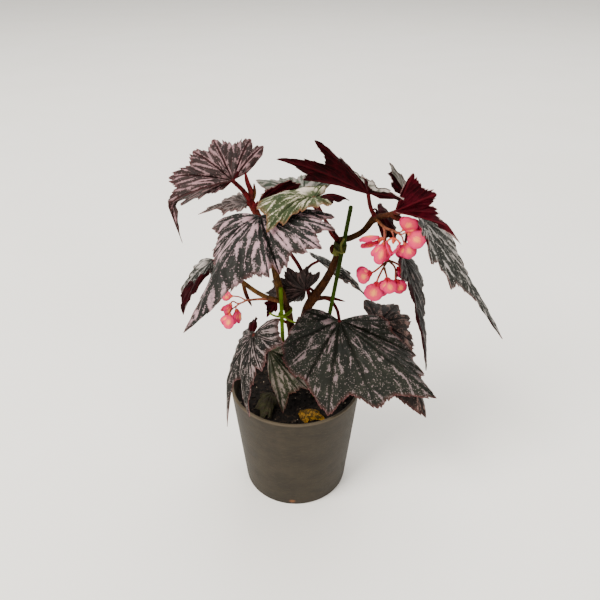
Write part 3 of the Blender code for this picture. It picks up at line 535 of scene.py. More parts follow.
# What all blades share, where a row below doesn't say otherwise. A row gives the junction with the petiole,
# the tips of the lobes, and the length and the two depths of the teeth. The fan of veins is counted in
# turns from the first lobe. At turn main the tip hangs down by drip. The blade goes on past its outer veins
# by tuck, in degrees. arch lifts its middle, and dip draws its edge in between two lobes. Between two turns
# and two shares of the reach, curl turns it over, and plain makes it wine on both sides.
blade = dict(
    main=2, thick=0.6, arch=0.06, pleat=0.03, dip=0.12, full=0.5, tuck=24, wave=0.9, groove=0.9,
    grooveWidth=1.4, quilt=0.6, bumps=0.5, calm=8.0, outer=0.72, tail=1.8, under="wine", drip=None,
    dips=(), curl=(), plain=())
bristle = dict(shortest=0.6, longest=1.1, root=0.12, tip=0.02, sunk=0.15)
leaves = dict(
    high_left=dict(
        at=(-46, -8, 309), main=5, drip=(10, -9, -28), arch=0.10, tuck=(20, 12), look="bronze",
        tooth=(3.1, 3.1, 2.6), curl=((4.7, 5.3, 0.93), (-1.1, 0.6, 0.0, 0.2), (8.2, 9.1, 0.0, 0.45)),
        tail=1.3, lobes=((-24, 19, 328), (-34, 23, 332), (-63, 23, 331), (-79, 17, 324), (-97, 4, 308),
        (-94, -23, 297), (-87, -9, 290), (-75, 2, 291), (-62, -12, 301))),
    broad_left=dict(
        at=(-25, -30, 290), drip=(-10, 0, -9), arch=0.10, tuck=22, look="striped",
        tooth=(3.6, 2.4, 2.6), lobes=((-63, -14, 275), (-61, -37, 261), (-67, -95, 240), (-17, -81, 268),
        (-10, -70, 263), (19, -63, 280), (29, -48, 288), (30, -25, 287))),
    small_left=dict(
        at=(-38, 12, 283), drip=(-7, 0, -3), arch=0.08, look="rosy", tooth=(3.0, 1.8, 1.4),
        lobes=((-45, 33, 284), (-58, 23, 282), (-70, 5, 280), (-56, -5, 281), (-44, -7, 284))),
    back_silver=dict(
        at=(8, 22, 285), main=3, arch=0.10, look="silver", tooth=(3.4, 1.8, 1.4), lobes=((33, 39, 294),
        (9, 50, 294), (-11, 56, 288), (-34, 55, 287), (-29, 32, 280), (-27, 24, 257))),
    young_red=dict(
        at=(-28, 0, 289), tuck=10, full=1.0, dip=0.0, look="faded",
        tooth=(3.6, 1.8, 1.4), lobes=((-20, -1, 300), (-4, 0, 307), (5, 2, 303), (1, -1, 296))),
    young_pale=dict(
        at=(15, -18, 299), main=3, arch=0.14, dip=0.08, look="pale", tooth=(3.4, 0.8, 1.0),
        curl=((6.2, 8.1, 0.2),), lobes=((24, 2, 302), (-28, -12, 293), (-27, -39, 300), (-19, -55, 289),
        (-8, -53, 294), (6, -44, 301), (27, -28, 298), (41, -20, 299))),
    top_red=dict(
        at=(57, 0, 296), arch=0.04, tuck=14, dips=(0.05, 0.15, 0.34, 0.3, 0.3, 0.25), full=0.8,
        look="bright", tooth=(3.6, 2.2, 1.8), curl=((4.02, 4.95, 0.45), (5.08, 5.85, 0.28)),
        plain=((1.5, 4.02, 0.0),), lobes=((31, 25, 297), (7, 25, 298), (-14, 30, 314), (16, 14, 334),
        (33, -18, 330), (50, -20, 318), (80, -30, 304))),
    right_sprig=dict(
        at=(90, 10, 289), arch=0.05, look="bright", tooth=(2.8, 1.5, 1.0), curl=((1.3, 5.1, 0.0),),
        lobes=((74, -2, 306), (71, 2, 312), (73, 9, 318), (81, -2, 312), (89, -3, 303))),
    red_fan=dict(
        at=(77, -12, 286), main=3, drip=(8, -7, -10), arch=0.04, tuck=(8, 2), dips=(0.12, 0.12, 0.1, 0.42),
        look="rosy", under="claret", tooth=(3.2, 2.6, 1.6), curl=((2.4, 3.3, 0.86),), lobes=((85, -27, 322),
        (103, -31, 308), (107, -26, 291), (110, -50, 291), (100, -26, 286))),
    hanging_right=dict(
        at=(100, 0, 277), main=3, drip=(12, 0, -15), arch=0.02, look="ashen", tooth=(4.0, 2.8, 2.0),
        lobes=((96, -35, 277), (101, -48, 260), (117, -55, 243), (153, -51, 210), (141, 3, 230),
        (135, 36, 247))),
    narrow_right=dict(
        at=(88, 6, 241), arch=0.03, full=0.8, look="charred", tooth=(4.4, 1.6, 1.6),
        curl=((0.5, 1.97, 0.62),), lobes=((82, -43, 244), (92, -30, 223), (110, -43, 157), (114, 8, 187),
        (116, 36, 199), (107, 48, 213))),
    behind_blooms=dict(
        at=(68, 14, 275), look="wine", full=1.0, dip=0.0, tooth=(3.0, 1.4, 0.8),
        lobes=((64, 11, 279), (70, -1, 259), (83, 6, 252), (84, 24, 258), (74, 36, 272))),
    broad_front=dict(
        at=(38, -12, 186), main=5, arch=0.10, tuck=20, dip=0.08, full=1.0,
        dips=(-0.05, -0.13, -0.03, 0.17, 0.09), look="speckled", tooth=(3.4, 1.1, 1.8),
        curl=((4.97, 5.2, 0.93),), lobes=((8, 4, 186), (-12, -13, 159), (9, -33, 137), (28, -53, 116),
        (69, -61, 131), (116, -62, 143), (109, -40, 151), (105, -19, 155), (80, -11, 185))),
    low_left=dict(
        at=(-34, -30, 184), main=3, drip=(-2, -3, -42), arch=0.10, full=0.8,
        dips=(0.05, 0.05, 0.05, 0.3, 0.1, 0.15, 0.2, 0.0), look="fine", tooth=(3.0, 1.8, 1.6),
        curl=((-1.1, 0.35, 0.15),), lobes=((-34, -7, 187), (-47, -16, 171), (-54, -26, 155),
        (-59, -40, 136), (-39, -60, 121), (-34, -58, 155), (-27, -52, 163), (-10, -41, 183),
        (-14, -26, 197))),
    inner_low=dict(
        at=(-23, -12, 156), main=1, arch=0.08, tuck=(8, 62), full=1.0, dips=(-0.02, 0.1, 0.05),
        look="inner", tooth=(3.6, 1.3, 1.4), lobes=((-22, -20, 125), (-11, -30, 98), (3, -26, 121),
        (12, -20, 117), (11, -8, 132))),
    small_centre=dict(
        at=(9, 4, 207), main=4, tuck=20, full=0.7, look="dusky", tooth=(2.8, 1.8, 1.4),
        lobes=((21, 2, 225), (10, 4, 229), (-7, 8, 226), (-20, 13, 211), (-27, 20, 194), (-9, 16, 185),
        (2, 19, 186))),
    far_left=dict(
        at=(-69, 14, 231), dips=(0.1, 0.0, 0.0, 0.6), look="ashen",
        tooth=(3.6, 0.9, 0.6), curl=((1.35, 3.3, 0.42),), lobes=((-88, 31, 217), (-98, 6, 206),
        (-92, -25, 201), (-79, -28, 225), (-68, -11, 216))),
    low_right=dict(
        at=(73, 4, 172), arch=0.10, look="faded", tooth=(3.8, 1.7, 2.0), lobes=((32, -29, 137),
        (63, -53, 131), (112, -54, 115), (107, 1, 152), (106, 24, 166), (96, 36, 172), (65, 39, 176))),
    edge_on=dict(
        at=(20, 12, 231), main=1, look="ashen", tooth=(3.6, 1.1, 1.2), lobes=((46, 10, 210),
        (63, 14, 195), (48, 29, 211), (15, 41, 223))),
    tiny_red=dict(
        at=(-16, 8, 192), main=1, arch=0.05, look="wine", tooth=(2.6, 0.9, 0.6), lobes=((-17, 6, 184),
        (-25, 8, 177), (-27, 8, 192))),
    fallen=dict(
        at=(3, -32, 99), main=1, arch=0.25, look="fallen", tooth=(3.0, 0.6, 0.4), lobes=((10, -40, 95.8),
        (28, -37, 96.8), (22, -26, 96.8), (9, -24, 95.8))),
    dry=dict(
        at=(-21, -8, 103), arch=0.12, look="dry", tooth=(3.0, 0.9, 0.8), lobes=((-33, -12, 103),
        (-37, -26, 100), (-31, -37, 95.2), (-22, -35, 96.5), (-18, -22, 100))),
)


def leafFace(row):
    # the junction, the veins from it and the way that the upper face looks
    at = Vector(row["at"])
    veins = [Vector(tip) - at for tip in row["lobes"]]
    face = Vector((0, 0, 0))
    for first, second in zip(veins, veins[1:]):
        face += first.cross(second)
    return at, veins, face.normalized()


def leafRib(row, veins, face, turn):
    # direction, reach and the angle of its sector for the rib at this turn of the fan
    last = len(veins) - 1
    if turn < 0 or turn > last:
        before, after = row["tuck"] if isinstance(row["tuck"], tuple) else (row["tuck"], row["tuck"])
        low = turn < 0
        vein, tuck, beyond = (veins[0], before, -turn) if low else (veins[-1], after, turn - last)
        tuck = math.radians(tuck)
        angle = tuck * beyond * (-1 if low else 1)
        way = vein.normalized()
        way = way * math.cos(angle) + face.cross(way) * math.sin(angle)
        return way.normalized(), vein.length * max(0.0, 1 - beyond ** 1.5) ** 0.7, tuck
    k = min(int(turn), last - 1)
    t = turn - k
    first, second = veins[k], veins[k + 1]
    low = min(first.length, second.length)
    hollow = low + (first.length - low) * (1 - t) ** 2 + (second.length - low) * t ** 2
    wide = first.angle(second)
    chord = first.length * second.length * math.sin(wide) / (
        first.length * math.sin(t * wide) + second.length * math.sin((1 - t) * wide))
    dip = row["dips"][k] if k < len(row["dips"]) else row["dip"]
    notch = 1 - dip * (4 * t * (1 - t)) ** 1.5
    reach = (hollow + (chord - hollow) * row["full"]) * notch
    return first.normalized().slerp(second.normalized(), t), reach, wide


def leafColumns(row, veins):
    # (turn, how deep the edge is cut there) for each column, with teeth that point to the lobe tips
    length, depth, deeper = row["tooth"]
    ends = [(-1.0, 0.0), (-0.85, 0.5), (-0.7, 0.0), (-0.55, 0.7), (-0.4, 0.2), (-0.25, 0.8), (-0.12, 0.3)]
    columns = list(ends)
    for k, (first, second) in enumerate(zip(veins, veins[1:])):
        teeth = max(2, round((first - second).length / 2 / length))
        steps = teeth * 8
        for step in range(steps):
            t = step / steps
            seed = Vector((k * 7.3, row["at"][0], 0.6 if t > 0.5 else 0.1))
            inward = abs(t - 0.5) * 2 * teeth + 0.25 * noise.noise(seed + Vector((0, 0, t * teeth * 1.7)))
            inward = max(0.0, inward)
            # a small tooth at each step inwards and a big one at every third
            small = max(0.0, 1 - (inward + 1e-6) % 1 / 0.8)
            big = max(0.0, 1 - (inward + 1e-6) % 3 / 2.75)
            size = 0.75 + 0.7 * noise.noise(seed + Vector((0, int(inward), 0)))
            near = min(1.0, min(t, 1 - t) * steps / 4)
            cut = small * size * depth + big * deeper - 0.25 * depth - 0.3 * deeper
            columns.append((k + t, cut * near))
    last = len(veins) - 1.0
    columns.append((last, 0.0))
    return columns + [(last - turn, cut) for turn, cut in reversed(ends)]


def leafPoint(row, at, face, way, reach, near, out, extra):
    # a point of the blade, with what it stands proud by, in mm, in extra
    share = out
    hang = Vector((0, 0, 0))
    if row["drip"] and near > 0.01:
        drip = Vector(row["drip"]) * near
        knee = reach / (reach + drip.length)
        share = min(out / knee, 1.0)
        hang = drip * max(0.0, (out - knee) / (1 - knee))
    lift = row["arch"] * 4 * share * (1 - share) * reach
    return at + way * reach * share + face * (lift + extra) + hang


def solidMesh(piece, thickness):
    # gives a blade its thickness at once and returns the result, so that more can be joined to it
    shell = piece.modifiers.new("Blade", "SOLIDIFY")
    shell.thickness = thickness * mm
    shell.offset = 0.0
    shell.material_offset = 1
    bpy.context.view_layer.update()
    done = bpy.data.meshes.new_from_object(piece.evaluated_get(bpy.context.evaluated_depsgraph_get()))
    piece.modifiers.clear()
    bm = bmesh.new()
    bm.from_mesh(done)
    bpy.data.meshes.remove(done)
    return bm


def turnOver(bm, row, columns):
    # where a part of the blade is turned over, its two faces change their looks
    for f in bm.faces:
        spot = f.calc_center_median()
        turn, out = columns[int((spot.x + 1) / 2 * (len(columns) - 1))][0], (spot.y + 1) / 2
        ragged = 0.08 * noise.noise(Vector((turn * 4, out * 3, row["at"][0])))
        for word, index in (("curl", 2), ("plain", 4)):
            for low, high, start, *end in row[word]:
                taper = start * 0.5 * ((2 * turn - low - high) / (high - low)) ** 2
                if low < turn < high and start + taper + ragged < out < (end[0] if end else 2.0) + ragged:
                    f.material_index = index


def addBristles(bm, name, columns, ribs, face, rim):
    # a short bristle on each tooth
    draw = random.Random(name)
    for column in range(1, len(columns) - 1):
        cuts = [columns[column + step][1] for step in (-1, 0, 1)]
        if cuts[1] <= min(cuts):
            way = (ribs[column][0] + face * draw.uniform(-0.5, 0.7)).normalized()
            length = draw.uniform(bristle["shortest"], bristle["longest"])
            place = Matrix.Translation(rim[column] + way * (length * 0.5 - bristle["sunk"]) * mm)
            made = bmesh.ops.create_cone(
                bm, cap_ends=True, segments=3, radius1=bristle["root"] * mm, radius2=bristle["tip"] * mm,
                depth=length * mm, matrix=place @ way.to_track_quat("Z", "Y").to_matrix().to_4x4())["verts"]
            for f in {f for v in made for f in v.link_faces}:
                f.material_index = 1


def makeLeaf(node, row, looks):
    at, veins, face = leafFace(row)
    last = len(veins) - 1
    columns = leafColumns(row, veins)
    ribs = [leafRib(row, veins, face, turn) for turn, cut in columns]
    spacing = leafLooks.get(row["look"], leafLooks["striped"])["spacing"]
    rings = min(36, max(16, round(max(vein.length for vein in veins) / 2)))
    bm = bmesh.new()
    layers = [bm.verts.layers.float.new(word) for word in leafLayers]
    # a flat grid whose x is the column and whose y is the way out from the junction
    bmesh.ops.create_grid(bm, x_segments=len(columns) - 1, y_segments=rings, size=1.0)
    turnOver(bm, row, columns)
    rim = {}
    for v in bm.verts:
        column = round((v.co.x + 1) / 2 * (len(columns) - 1))
        out = 1 - (1 - (v.co.y + 1) / 2) ** 1.2
        turn, cut = columns[column]
        way, reach, wide = ribs[column]
        t = turn - math.floor(turn)
        side = min(t, 1 - t) * wide * reach * out
        along = reach * out
        # side veins leave their main vein at a sharp angle, sharper where the sector is narrow
        lean = min(3.0, 1.55 / wide)
        spot = (at + way * along) * 0.09
        rank = (along - side * lean) / spacing + 0.3 * noise.noise(spot) + math.floor(turn + 0.5) * 0.37
        rank += 0.5 if t < 0.5 else 0.0
        # the teeth, the waves and the flattening belong to the outer part of the blade
        toEdge = max(0.0, (out - row["outer"]) / (1 - row["outer"]))
        trimmed = reach - cut * toEdge ** 2 * min(1.0, reach / 20)
        near = max(0.0, 1 - abs(turn - row["main"]) * 4.0) ** row["tail"]
        between = abs(math.sin(math.pi * turn)) if 0 <= turn <= last else 0.0
        extra = row["pleat"] * between * out * (1.35 - out) * 2 * reach
        # the junction itself stays calm
        grown = min(1.0, along / row["calm"])
        extra -= row["groove"] * math.exp(-(side / row["grooveWidth"]) ** 2) * grown
        swell = 0.5 - 0.5 * math.cos(math.tau * rank)
        extra += row["quilt"] * swell * min(1.0, side / 3) * (1 - toEdge * 0.4)
        extra += row["bumps"] * noise.noise(spot * 2.3 + face) * grown
        extra += row["wave"] * toEdge * math.sin(turn * math.tau * 2.3 + at.x) * (1 - near)
        v.co = leafPoint(row, at, face, way, trimmed, near, out, extra) * mm
        if out > 0.999:
            rim[column] = v.co.copy()
        for layer, value in zip(layers, (side, rank, along, reach - along)):
            v[layer] = value
    bmesh.ops.remove_doubles(bm, verts=bm.verts, dist=1e-6)
    faceTowards(bm, bm.faces, face)
    piece = newPiece(pieceName(node), bm, looks, 180)
    bm = solidMesh(piece, row["thick"])
    if row["look"] not in oldLooks:
        addBristles(bm, node, columns, ribs, face, rim)
    fillMesh(piece.data, bm, 60)
    standFor(piece, node)


def makeLeaves():
    unders = {name: leafUnder(name, row) for name, row in wines.items()}
    tops = {name: leafTop(name, row) for name, row in leafLooks.items()}
    tops["wine"] = unders["wine"]
    tops |= {name: oldLeaf(*row) for name, row in oldLooks.items()}
    for name, own in leaves.items():
        row = blade | own
        top = tops[row["look"]]
        back = top if row["look"] in oldLooks else unders[row["under"]]
        # pairs of upper and lower face: as it grows, turned over, and plain
        makeLeaf("leaf_" + name, row, [top, back, back, top, back, back])
    print("leaves made:", len(leaves))


# Canes, petioles and stalks

stemTints = dict(
    root=tint(54, 38, 20), cane=tint(74, 42, 19), upper=tint(52, 30, 8), petiole=tint(84, 16, 20),
    olive=tint(84, 57, 25), red=tint(104, 22, 28), stalk=tint(164, 100, 78), rachis=tint(112, 72, 38),
    bloom=tint(206, 92, 92), bud=tint(84, 30, 20), sheath=tint(92, 48, 34))
# The cane's radius at each knot and its joints, counted in knots, with three more knots below the listed way
canes = dict(
    cane_left=dict(
        root=(-2, 8), radii=(3.2, 3.2, 3.3, 3.3, 3.3, 3.6, 3.0, 2.9, 2.9, 3.2), joints=(3.2, 5, 6.6, 8),
        tints=("root", "root", "cane", "olive", "olive", "red"), way=(
            (-4, 6, 166), (-6, 5, 184), (-12, 4, 203), (-16, 1, 224), (-20, 1, 251), (-27, 2, 271),
            (-35, 3, 289))),
    cane_right=dict(
        root=(12, 18), radii=(3.3, 3.3, 3.5, 3.6, 4.0, 4.4, 3.5, 3.0, 3.1, 2.5, 2.4, 2.8, 2.2, 2.8),
        joints=(3, 5, 8, 11), tints=("root", "root", "cane", "cane", "upper", "upper", "sheath"), way=(
            (8, 11, 160), (10, 8, 184), (17, 7, 199), (27, 6, 217), (34, 5, 236), (38, 5, 253),
            (46, 5, 256), (55, 4, 262), (64, 2, 274), (74, 0, 278), (80, -3, 281))),
)
# Each petiole's radius, colour and way from the cane
petioles = dict(
    cane_left=dict(
        high_left=(2.0, "red", ((-34, 3, 288), (-39, -1, 298))),
        young_red=(1.6, "red", ((-33, 3, 287), (-31, -1, 286))),
        low_left=(1.3, "petiole", ((-6, 6, 172), (-15, 2, 178), (-21, -9, 183))),
        inner_low=(1.3, "petiole", ((-3, 7, 104), (-18, -4, 120), (-23, -8, 142))),
        far_left=(2.2, "olive", ((-10, 4, 195), (-26, 5, 200), (-45, 9, 212), (-60, 14, 224))),
        tiny_red=(1.0, "petiole", ((-11, 4, 200), (-14, 9, 197))),
        small_left=(1.7, "red", ((-34, 3, 287), (-37, 9, 283)))),
    cane_right=dict(
        broad_left=(1.7, "petiole", ((14, 8, 193), (6, 10, 221), (-3, 6, 240), (-16, -14, 268))),
        edge_on=(1.4, "petiole", ((15, 9, 194), (8, 13, 214), (12, 14, 224))),
        small_centre=(1.4, "petiole", ((17, 7, 200), (14, 9, 205))),
        broad_front=(1.6, "petiole", ((17, 7, 196), (29, 7, 196), (35, 3, 191))),
        low_right=(1.4, "petiole", ((10, 12, 150), (40, 20, 158), (62, 16, 164))),
        young_pale=(1.5, "petiole", ((36, 5, 252), (30, 2, 260), (26, -6, 272))),
        back_silver=(1.4, "petiole", ((36, 5, 254), (24, 16, 268))),
        behind_blooms=(1.2, "petiole", ((63, 3, 272), (61, 11, 269))),
        top_red=(1.8, "petiole", ((64, 2, 275), (60, 2, 283))),
        narrow_right=(1.3, "petiole", ((79, -2, 280), (88, 3, 270), (91, 6, 254))),
        right_sprig=(1.5, "red", ((79, -3, 281), (84, 6, 283))),
        red_fan=(1.8, "sheath", ((79, -3, 281), (79, -8, 283))),
        hanging_right=(1.5, "red", ((80, -3, 281), (91, 3, 279)))),
)
# Bracts, buds and a furled leaf, which taper to a point
points = dict(
    cane_left=(
        dict(way=((-34, 3, 288), (-34, 1, 298), (-36, -1, 306), (-37, -2, 314)), radius=2.5, flat=0.7,
             tints=("sheath", "red", "red")),
        dict(way=((-33, 3, 288), (-31, 2, 296), (-31, 1, 304)), radius=1.8, flat=0.6,
             tints=("sheath", "olive", "red")),
        dict(way=((-45, 9, 212), (-42, 8, 199), (-38, 8, 188)), radius=1.7, tints=("olive", "bud", "bud"))),
    cane_right=(
        dict(way=((17, 7, 198), (30, 7.5, 197), (44, 8, 193)), radius=1.9, flat=0.8,
             tints=("upper", "bud", "petiole")),
        dict(way=((35.5, 5, 242), (31.8, 5, 244), (31, 5, 250)), radius=3.1, flat=0.9,
             tints=("upper", "bud", "bud")),
        dict(way=((76, -1, 279), (80, -5, 277), (85, -6, 277)), radius=2.7, flat=0.7,
             tints=("sheath", "bud", "sheath"))),
)
# The stalks that the blooms' own stalks grow from
sprays = dict(
    cane_left=(((-10, 2, 196), (-26, -6, 204), (-42, -10, 205)),),
    cane_right=(((65, 0, 274), (71, -6, 270), (80, -10, 268)),
                ((71, -6, 270), (73, -4, 254), (76, -4, 239))),
)
# A flower stalk's radius, how deep a cane stands in the soil, and how much its thickness changes
stem = dict(stalk=0.72, depth=42.0, swell=0.16, neck=0.05, uneven=0.05)


def stemLook():
    graph = Graph("stemSkin")
    skin = graph.attribute("tint", "Color")
    streaks = graph.noise(1.3, 3, 0.6, graph.scaled((1, 1, 0.25)))
    clouds = graph.noise(7, 3, 0.6)
    pores = graph.cells(1.9, at=graph.scaled((1, 1, 0.6))).rise(0.16, 0.26, 1, 0)
    dark = graph.paint(skin, (1.0, tint(120, 105, 100)), blend="MULTIPLY")
    light = graph.paint(skin, (0.2, tint(110, 76, 44)), blend="SCREEN")
    colour = graph.paint(dark, ((clouds * 0.6 + streaks * 0.4).rise(0.35, 0.7), skin), (pores * 0.5, light))
    return graph.finish(colour, 0.55 + streaks * 0.15, streaks * 0.6 + pores * 0.5, 0.25, shine=0.05)


def shades(*words):
    return [stemTints[word] for word in words]


def growStem(bm, way, steps, thickness, tints, sides, flat=1.0):
    # a stem along a smooth way; thickness gives the radius for a point's number and the number of points
    run = smoothPath(way, steps)
    growTube(bm, run, [thickness(i, len(run)) for i in range(len(run))], tints, sides, flat)


def makeCane(node, look):
    row = canes[node]
    bm = stemMesh()
    (x, y), top = row["root"], soil["top"]
    knots = [(x, y, top - stem["depth"]), (x, y, top - 12), (x, y, top + 4), *row["way"]]
    steps = 9
    places = smoothPath(knots, steps)
    radii = spread(row["radii"], steps)
    for i in range(len(radii)):
        # each joint is a little swollen, with a narrow place on either side
        joint = min(abs(i / steps - j) for j in row["joints"])
        swollen = stem["swell"] * math.exp(-(joint * 7) ** 2)
        radii[i] *= 1 + swollen - stem["neck"] * math.exp(-((joint - 0.25) * 9) ** 2)
        radii[i] *= 1 + stem["uneven"] * noise.noise(places[i] * 0.15)
    growTube(bm, places, radii, shades(*row["tints"]), 22)
    for leaf, (radius, shade, way) in petioles[node].items():
        at, veins, face = leafFace(leaves[leaf])
        growStem(
            bm, [*way, at - face * 0.15], 9,
            lambda i, count: radius * (1 + 0.45 * math.exp(-i / 2.2) - 0.15 * i / count),
            shades(shade, shade, "petiole"), 12)
    for part in points[node]:
        run = smoothPath(part["way"], 8)
        last = len(run) - 1
        thick = [part["radius"] * (0.25 + 0.8 * math.sin(math.pi * min(1, 0.18 + 0.82 * i / last)) ** 0.8)
                 for i in range(last)]
        growTube(bm, run, thick + [0.1], shades(*part["tints"]), 12, part.get("flat", 1.0))
    stalk = stem["stalk"]
    for way in sprays[node]:
        growStem(bm, way, 8, lambda i, count: stalk * (2.0 - 0.8 * i / count), shades("rachis", "stalk"), 10)
    for part in blooms[node].values():
        at, hang = Vector(part["at"]), Vector(part["hang"]).normalized()
        # those of the low spray have the thicker, darker stalks
        first, thick = ("rachis", 1.15) if "red" in part else ("stalk", 0.85)
        growStem(
            bm, [*part["way"], at - hang * 1.6, at + hang * 0.5], 7,
            lambda i, count: stalk * (thick + 0.5 * math.exp(-i / 1.5)), shades(first, "bloom"), 10)
    finishStems(bm, node, "Stems", look)


# Blooms

# Each bloom hangs from the end of its way. Its front tepal looks to side, apart and lean open the pair, and
# twist turns each in its own plane. blush is how red the tepals are, and red the winged seed pod.
blooms = dict(
    cane_right=dict(
        right_a=dict(way=((79, -10, 268),), at=(84, -12, 270), hang=(0.62, -0.15, 0.77),
            side=(0.1, -1, 0.2), size=1.12, twist=34, blush=0.3),
        right_b=dict(way=((79, -10, 268), (84, -12, 267)), at=(88, -14, 268.5), hang=(0.93, -0.3, -0.3),
            side=(0, -1, 0.3), size=1.17, twist=-36),
        right_c=dict(way=((79, -10, 268), (84, -12, 265)), at=(86, -13, 260), hang=(0.4, -0.2, -0.9),
            side=(0.2, -1, 0.1), size=1.0, twist=32),
        right_d=dict(way=((76, -11, 269),), at=(77, -16, 264.5), hang=(0, -0.1, -1), side=(1, -0.32, 0),
            size=1.1, wide=0.64, apart=5.3, lean=-29),
        right_e=dict(way=((71, -6, 270),), at=(70, -12, 260), hang=(-0.2, -0.3, -1), side=(0.2, -1, 0),
            size=1.38, wide=0.64, twist=-28),
        right_f=dict(way=((70, -6, 270),), at=(68.8, -11, 262.4), hang=(-1, -0.1, -0.2), side=(0, 0.1, 1),
            size=1.4, wide=0.66, apart=1.6, lean=3, twist=8, blush=0.1),
        low_a=dict(way=((76, -4, 240), (69, -9, 236)), at=(62, -11, 232), hang=(-1, -0.1, -0.3),
            side=(-0.2, -1, 0.1), size=0.9, wide=1.18, red=1.0, twist=12),
        low_b=dict(way=((76, -4, 240), (71, -9, 233)), at=(67, -13, 224), hang=(-0.2, -0.3, -1),
            side=(0.1, -1, 0.2), size=1.15, wide=1.12, red=1.0, twist=-38),
        low_c=dict(way=((73, -8, 235),), at=(75, -13, 228), hang=(0.2, -0.3, -1), side=(0.1, -1, 0.2),
            size=0.95, red=1.0, twist=34),
        low_d=dict(way=((76, -4, 240), (82, -6, 234)), at=(83, -11, 225), hang=(0.3, 0.1, -0.8),
            side=(0.2, -1, 0.2), size=0.95, red=1.0, twist=36),
        low_e=dict(way=((76, -4, 240), (82, -5, 238)), at=(86, -4, 233), hang=(0.1, 0.1, -1),
            side=(1, -0.4, 0), size=0.7, red=1.0, blush=0.2)),
    cane_left=dict(
        left_a=dict(way=((-41, -10, 205), (-46, -11, 209)), at=(-51.5, -12, 210.5), hang=(-1, -0.1, 0.1),
            side=(0.2, -1, 0), size=0.62),
        left_b=dict(way=((-41, -10, 205), (-47, -13, 204)), at=(-53, -14, 205), hang=(-0.7, -0.2, -1),
            side=(0.9, -0.6, 0), size=0.8, blush=0.1),
        left_c=dict(way=((-41, -10, 205), (-49, -14, 202)), at=(-54, -17, 197), hang=(-0.25, -0.3, -1),
            side=(0, -1, 0.1), size=1.0, wide=0.74, twist=16),
        left_d=dict(way=((-43, -11, 204), (-47, -12, 203)), at=(-49.5, -12, 197.5), hang=(0, 0.05, -1),
            side=(1, -0.3, 0), size=0.98, wide=0.9)),
)
tepal = dict(length=12.0, width=12.5, thick=0.75, cup=1.9, ruffle=0.3, notch=0.07, start=1.6, lean=11,
             angles=40, rings=9, small=dict(lean=4, size=0.8, twist=40, slim=0.7),
             peach=tint(250, 152, 84), pink=tint(224, 52, 94), rim=tint(200, 40, 98), base=tint(170, 24, 44))
# What a tepal carries for its pattern, and the redness of what it hangs from
petalLayers = ("reach", "length", "fan", "red")
# How far along the bloom each ring of the seed pod and its wings is, and its radius
pod = ((-0.2, 0.6), (0.4, 1.1), (1.2, 1.45), (2.2, 1.35), (3.2, 0.9), (3.9, 0.4))
wing = ((-1.2, 0.6), (-0.5, 1.9), (0.6, 3.0), (1.9, 3.1), (3.2, 2.1), (4.0, 0.7))


def bloomLook():
    graph = Graph("bloomPetal")
    reach, length, fan, red = (graph.attribute(word) for word in petalLayers)
    clouds = graph.noise(2.5)
    fine = graph.noise(0.6, 2, 0.6)
    # fine lines that fan out from the foot of the tepal
    lines = graph.noise(ownUnits, 2, 0.6, graph.vector(fan * 7, length * 0.8))
    pink = (reach + (lines - 0.5) * 0.8 + (clouds - 0.5) * 0.4).rise(0.08, 0.58)
    # the edge turns a deeper pink: partly the tepal's own colour, partly painted shade that sets off one
    # tepal where it lies over another
    rim = (reach + (fine - 0.5) * 0.12).rise(0.66, 0.96)
    base = (length + (lines - 0.5) * 0.4).rise(0.0, 0.3, 0.6, 0)
    coats = ((pink, tepal["pink"]), (rim, tepal["rim"]), (base, tepal["base"]), (red, tepal["base"]))
    colour = graph.paint(tepal["peach"], *coats)
    return graph.finish(colour, 0.45 + fine * 0.1, lines * 0.5 + fine * 0.3, 0.2, shine=0.12,
                        Subsurface_Weight=0.1, Subsurface_Radius=(0.004, 0.0015, 0.001))


def addTepal(bm, row, lean, size, twist=0.0, slim=1.0):
    # twist turns the tepal in its own plane, slim makes it narrower
    layers = [bm.verts.layers.float[word] for word in petalLayers]
    at, hang = Vector(row["at"]), Vector(row["hang"]).normalized()
    side = Vector(row["side"])
    side = (side - hang * side.dot(hang)).normalized()
    across = hang.cross(side)
    if lean < 0:
        side = -side
    foot = side * row.get("apart", 0.0)
    angle = math.radians(row.get("lean", abs(lean)))
    way = hang * math.cos(angle) + side * math.sin(angle)
    out = side * math.cos(angle) - hang * math.sin(angle)
    cos, sin = math.cos(math.radians(twist)), math.sin(math.radians(twist))
    way, across = way * cos + across * sin, across * cos - way * sin
    made = bmesh.ops.create_grid(
        bm, x_segments=tepal["angles"], y_segments=tepal["rings"], size=1.0)["verts"]
    faces = {f for v in made for f in v.link_faces}
    for v in made:
        # the grid becomes a cupped disc, narrower at its foot, ruffled at its edge and notched at its tip
        spin, reach = math.pi * v.co.x, (v.co.y + 1) / 2
        x, y = reach * math.sin(spin), -reach * math.cos(spin)
        narrow = 0.8 + 0.2 * min(1.0, (y + 1) * 0.9)
        breadth = narrow * tepal["width"] * row.get("wide", 1.0) * slim
        ruffle = tepal["ruffle"] * reach ** 4 * math.sin(spin * 7 + at.x)
        tip = -tepal["notch"] * math.exp(-(abs(abs(spin) - math.pi) / 0.25) ** 2) * reach ** 3
        place = way * (y + tip + 1.02) * tepal["length"] / 2 + across * x * breadth / 2
        place += out * ((1 - x * x * 0.8 - y * y * 0.8) * tepal["cup"] + ruffle)
        v.co = (at + foot + hang * tepal["start"] + place * size) * mm
        carried = (reach, (y + 1) / 2, math.atan2(x, y + 1.25), row.get("blush", 0.0))
        for layer, value in zip(layers, carried):
            v[layer] = value
    bmesh.ops.remove_doubles(bm, verts=made, dist=1e-6)
    faceTowards(bm, [f for f in faces if f.is_valid], out)
    return at + foot


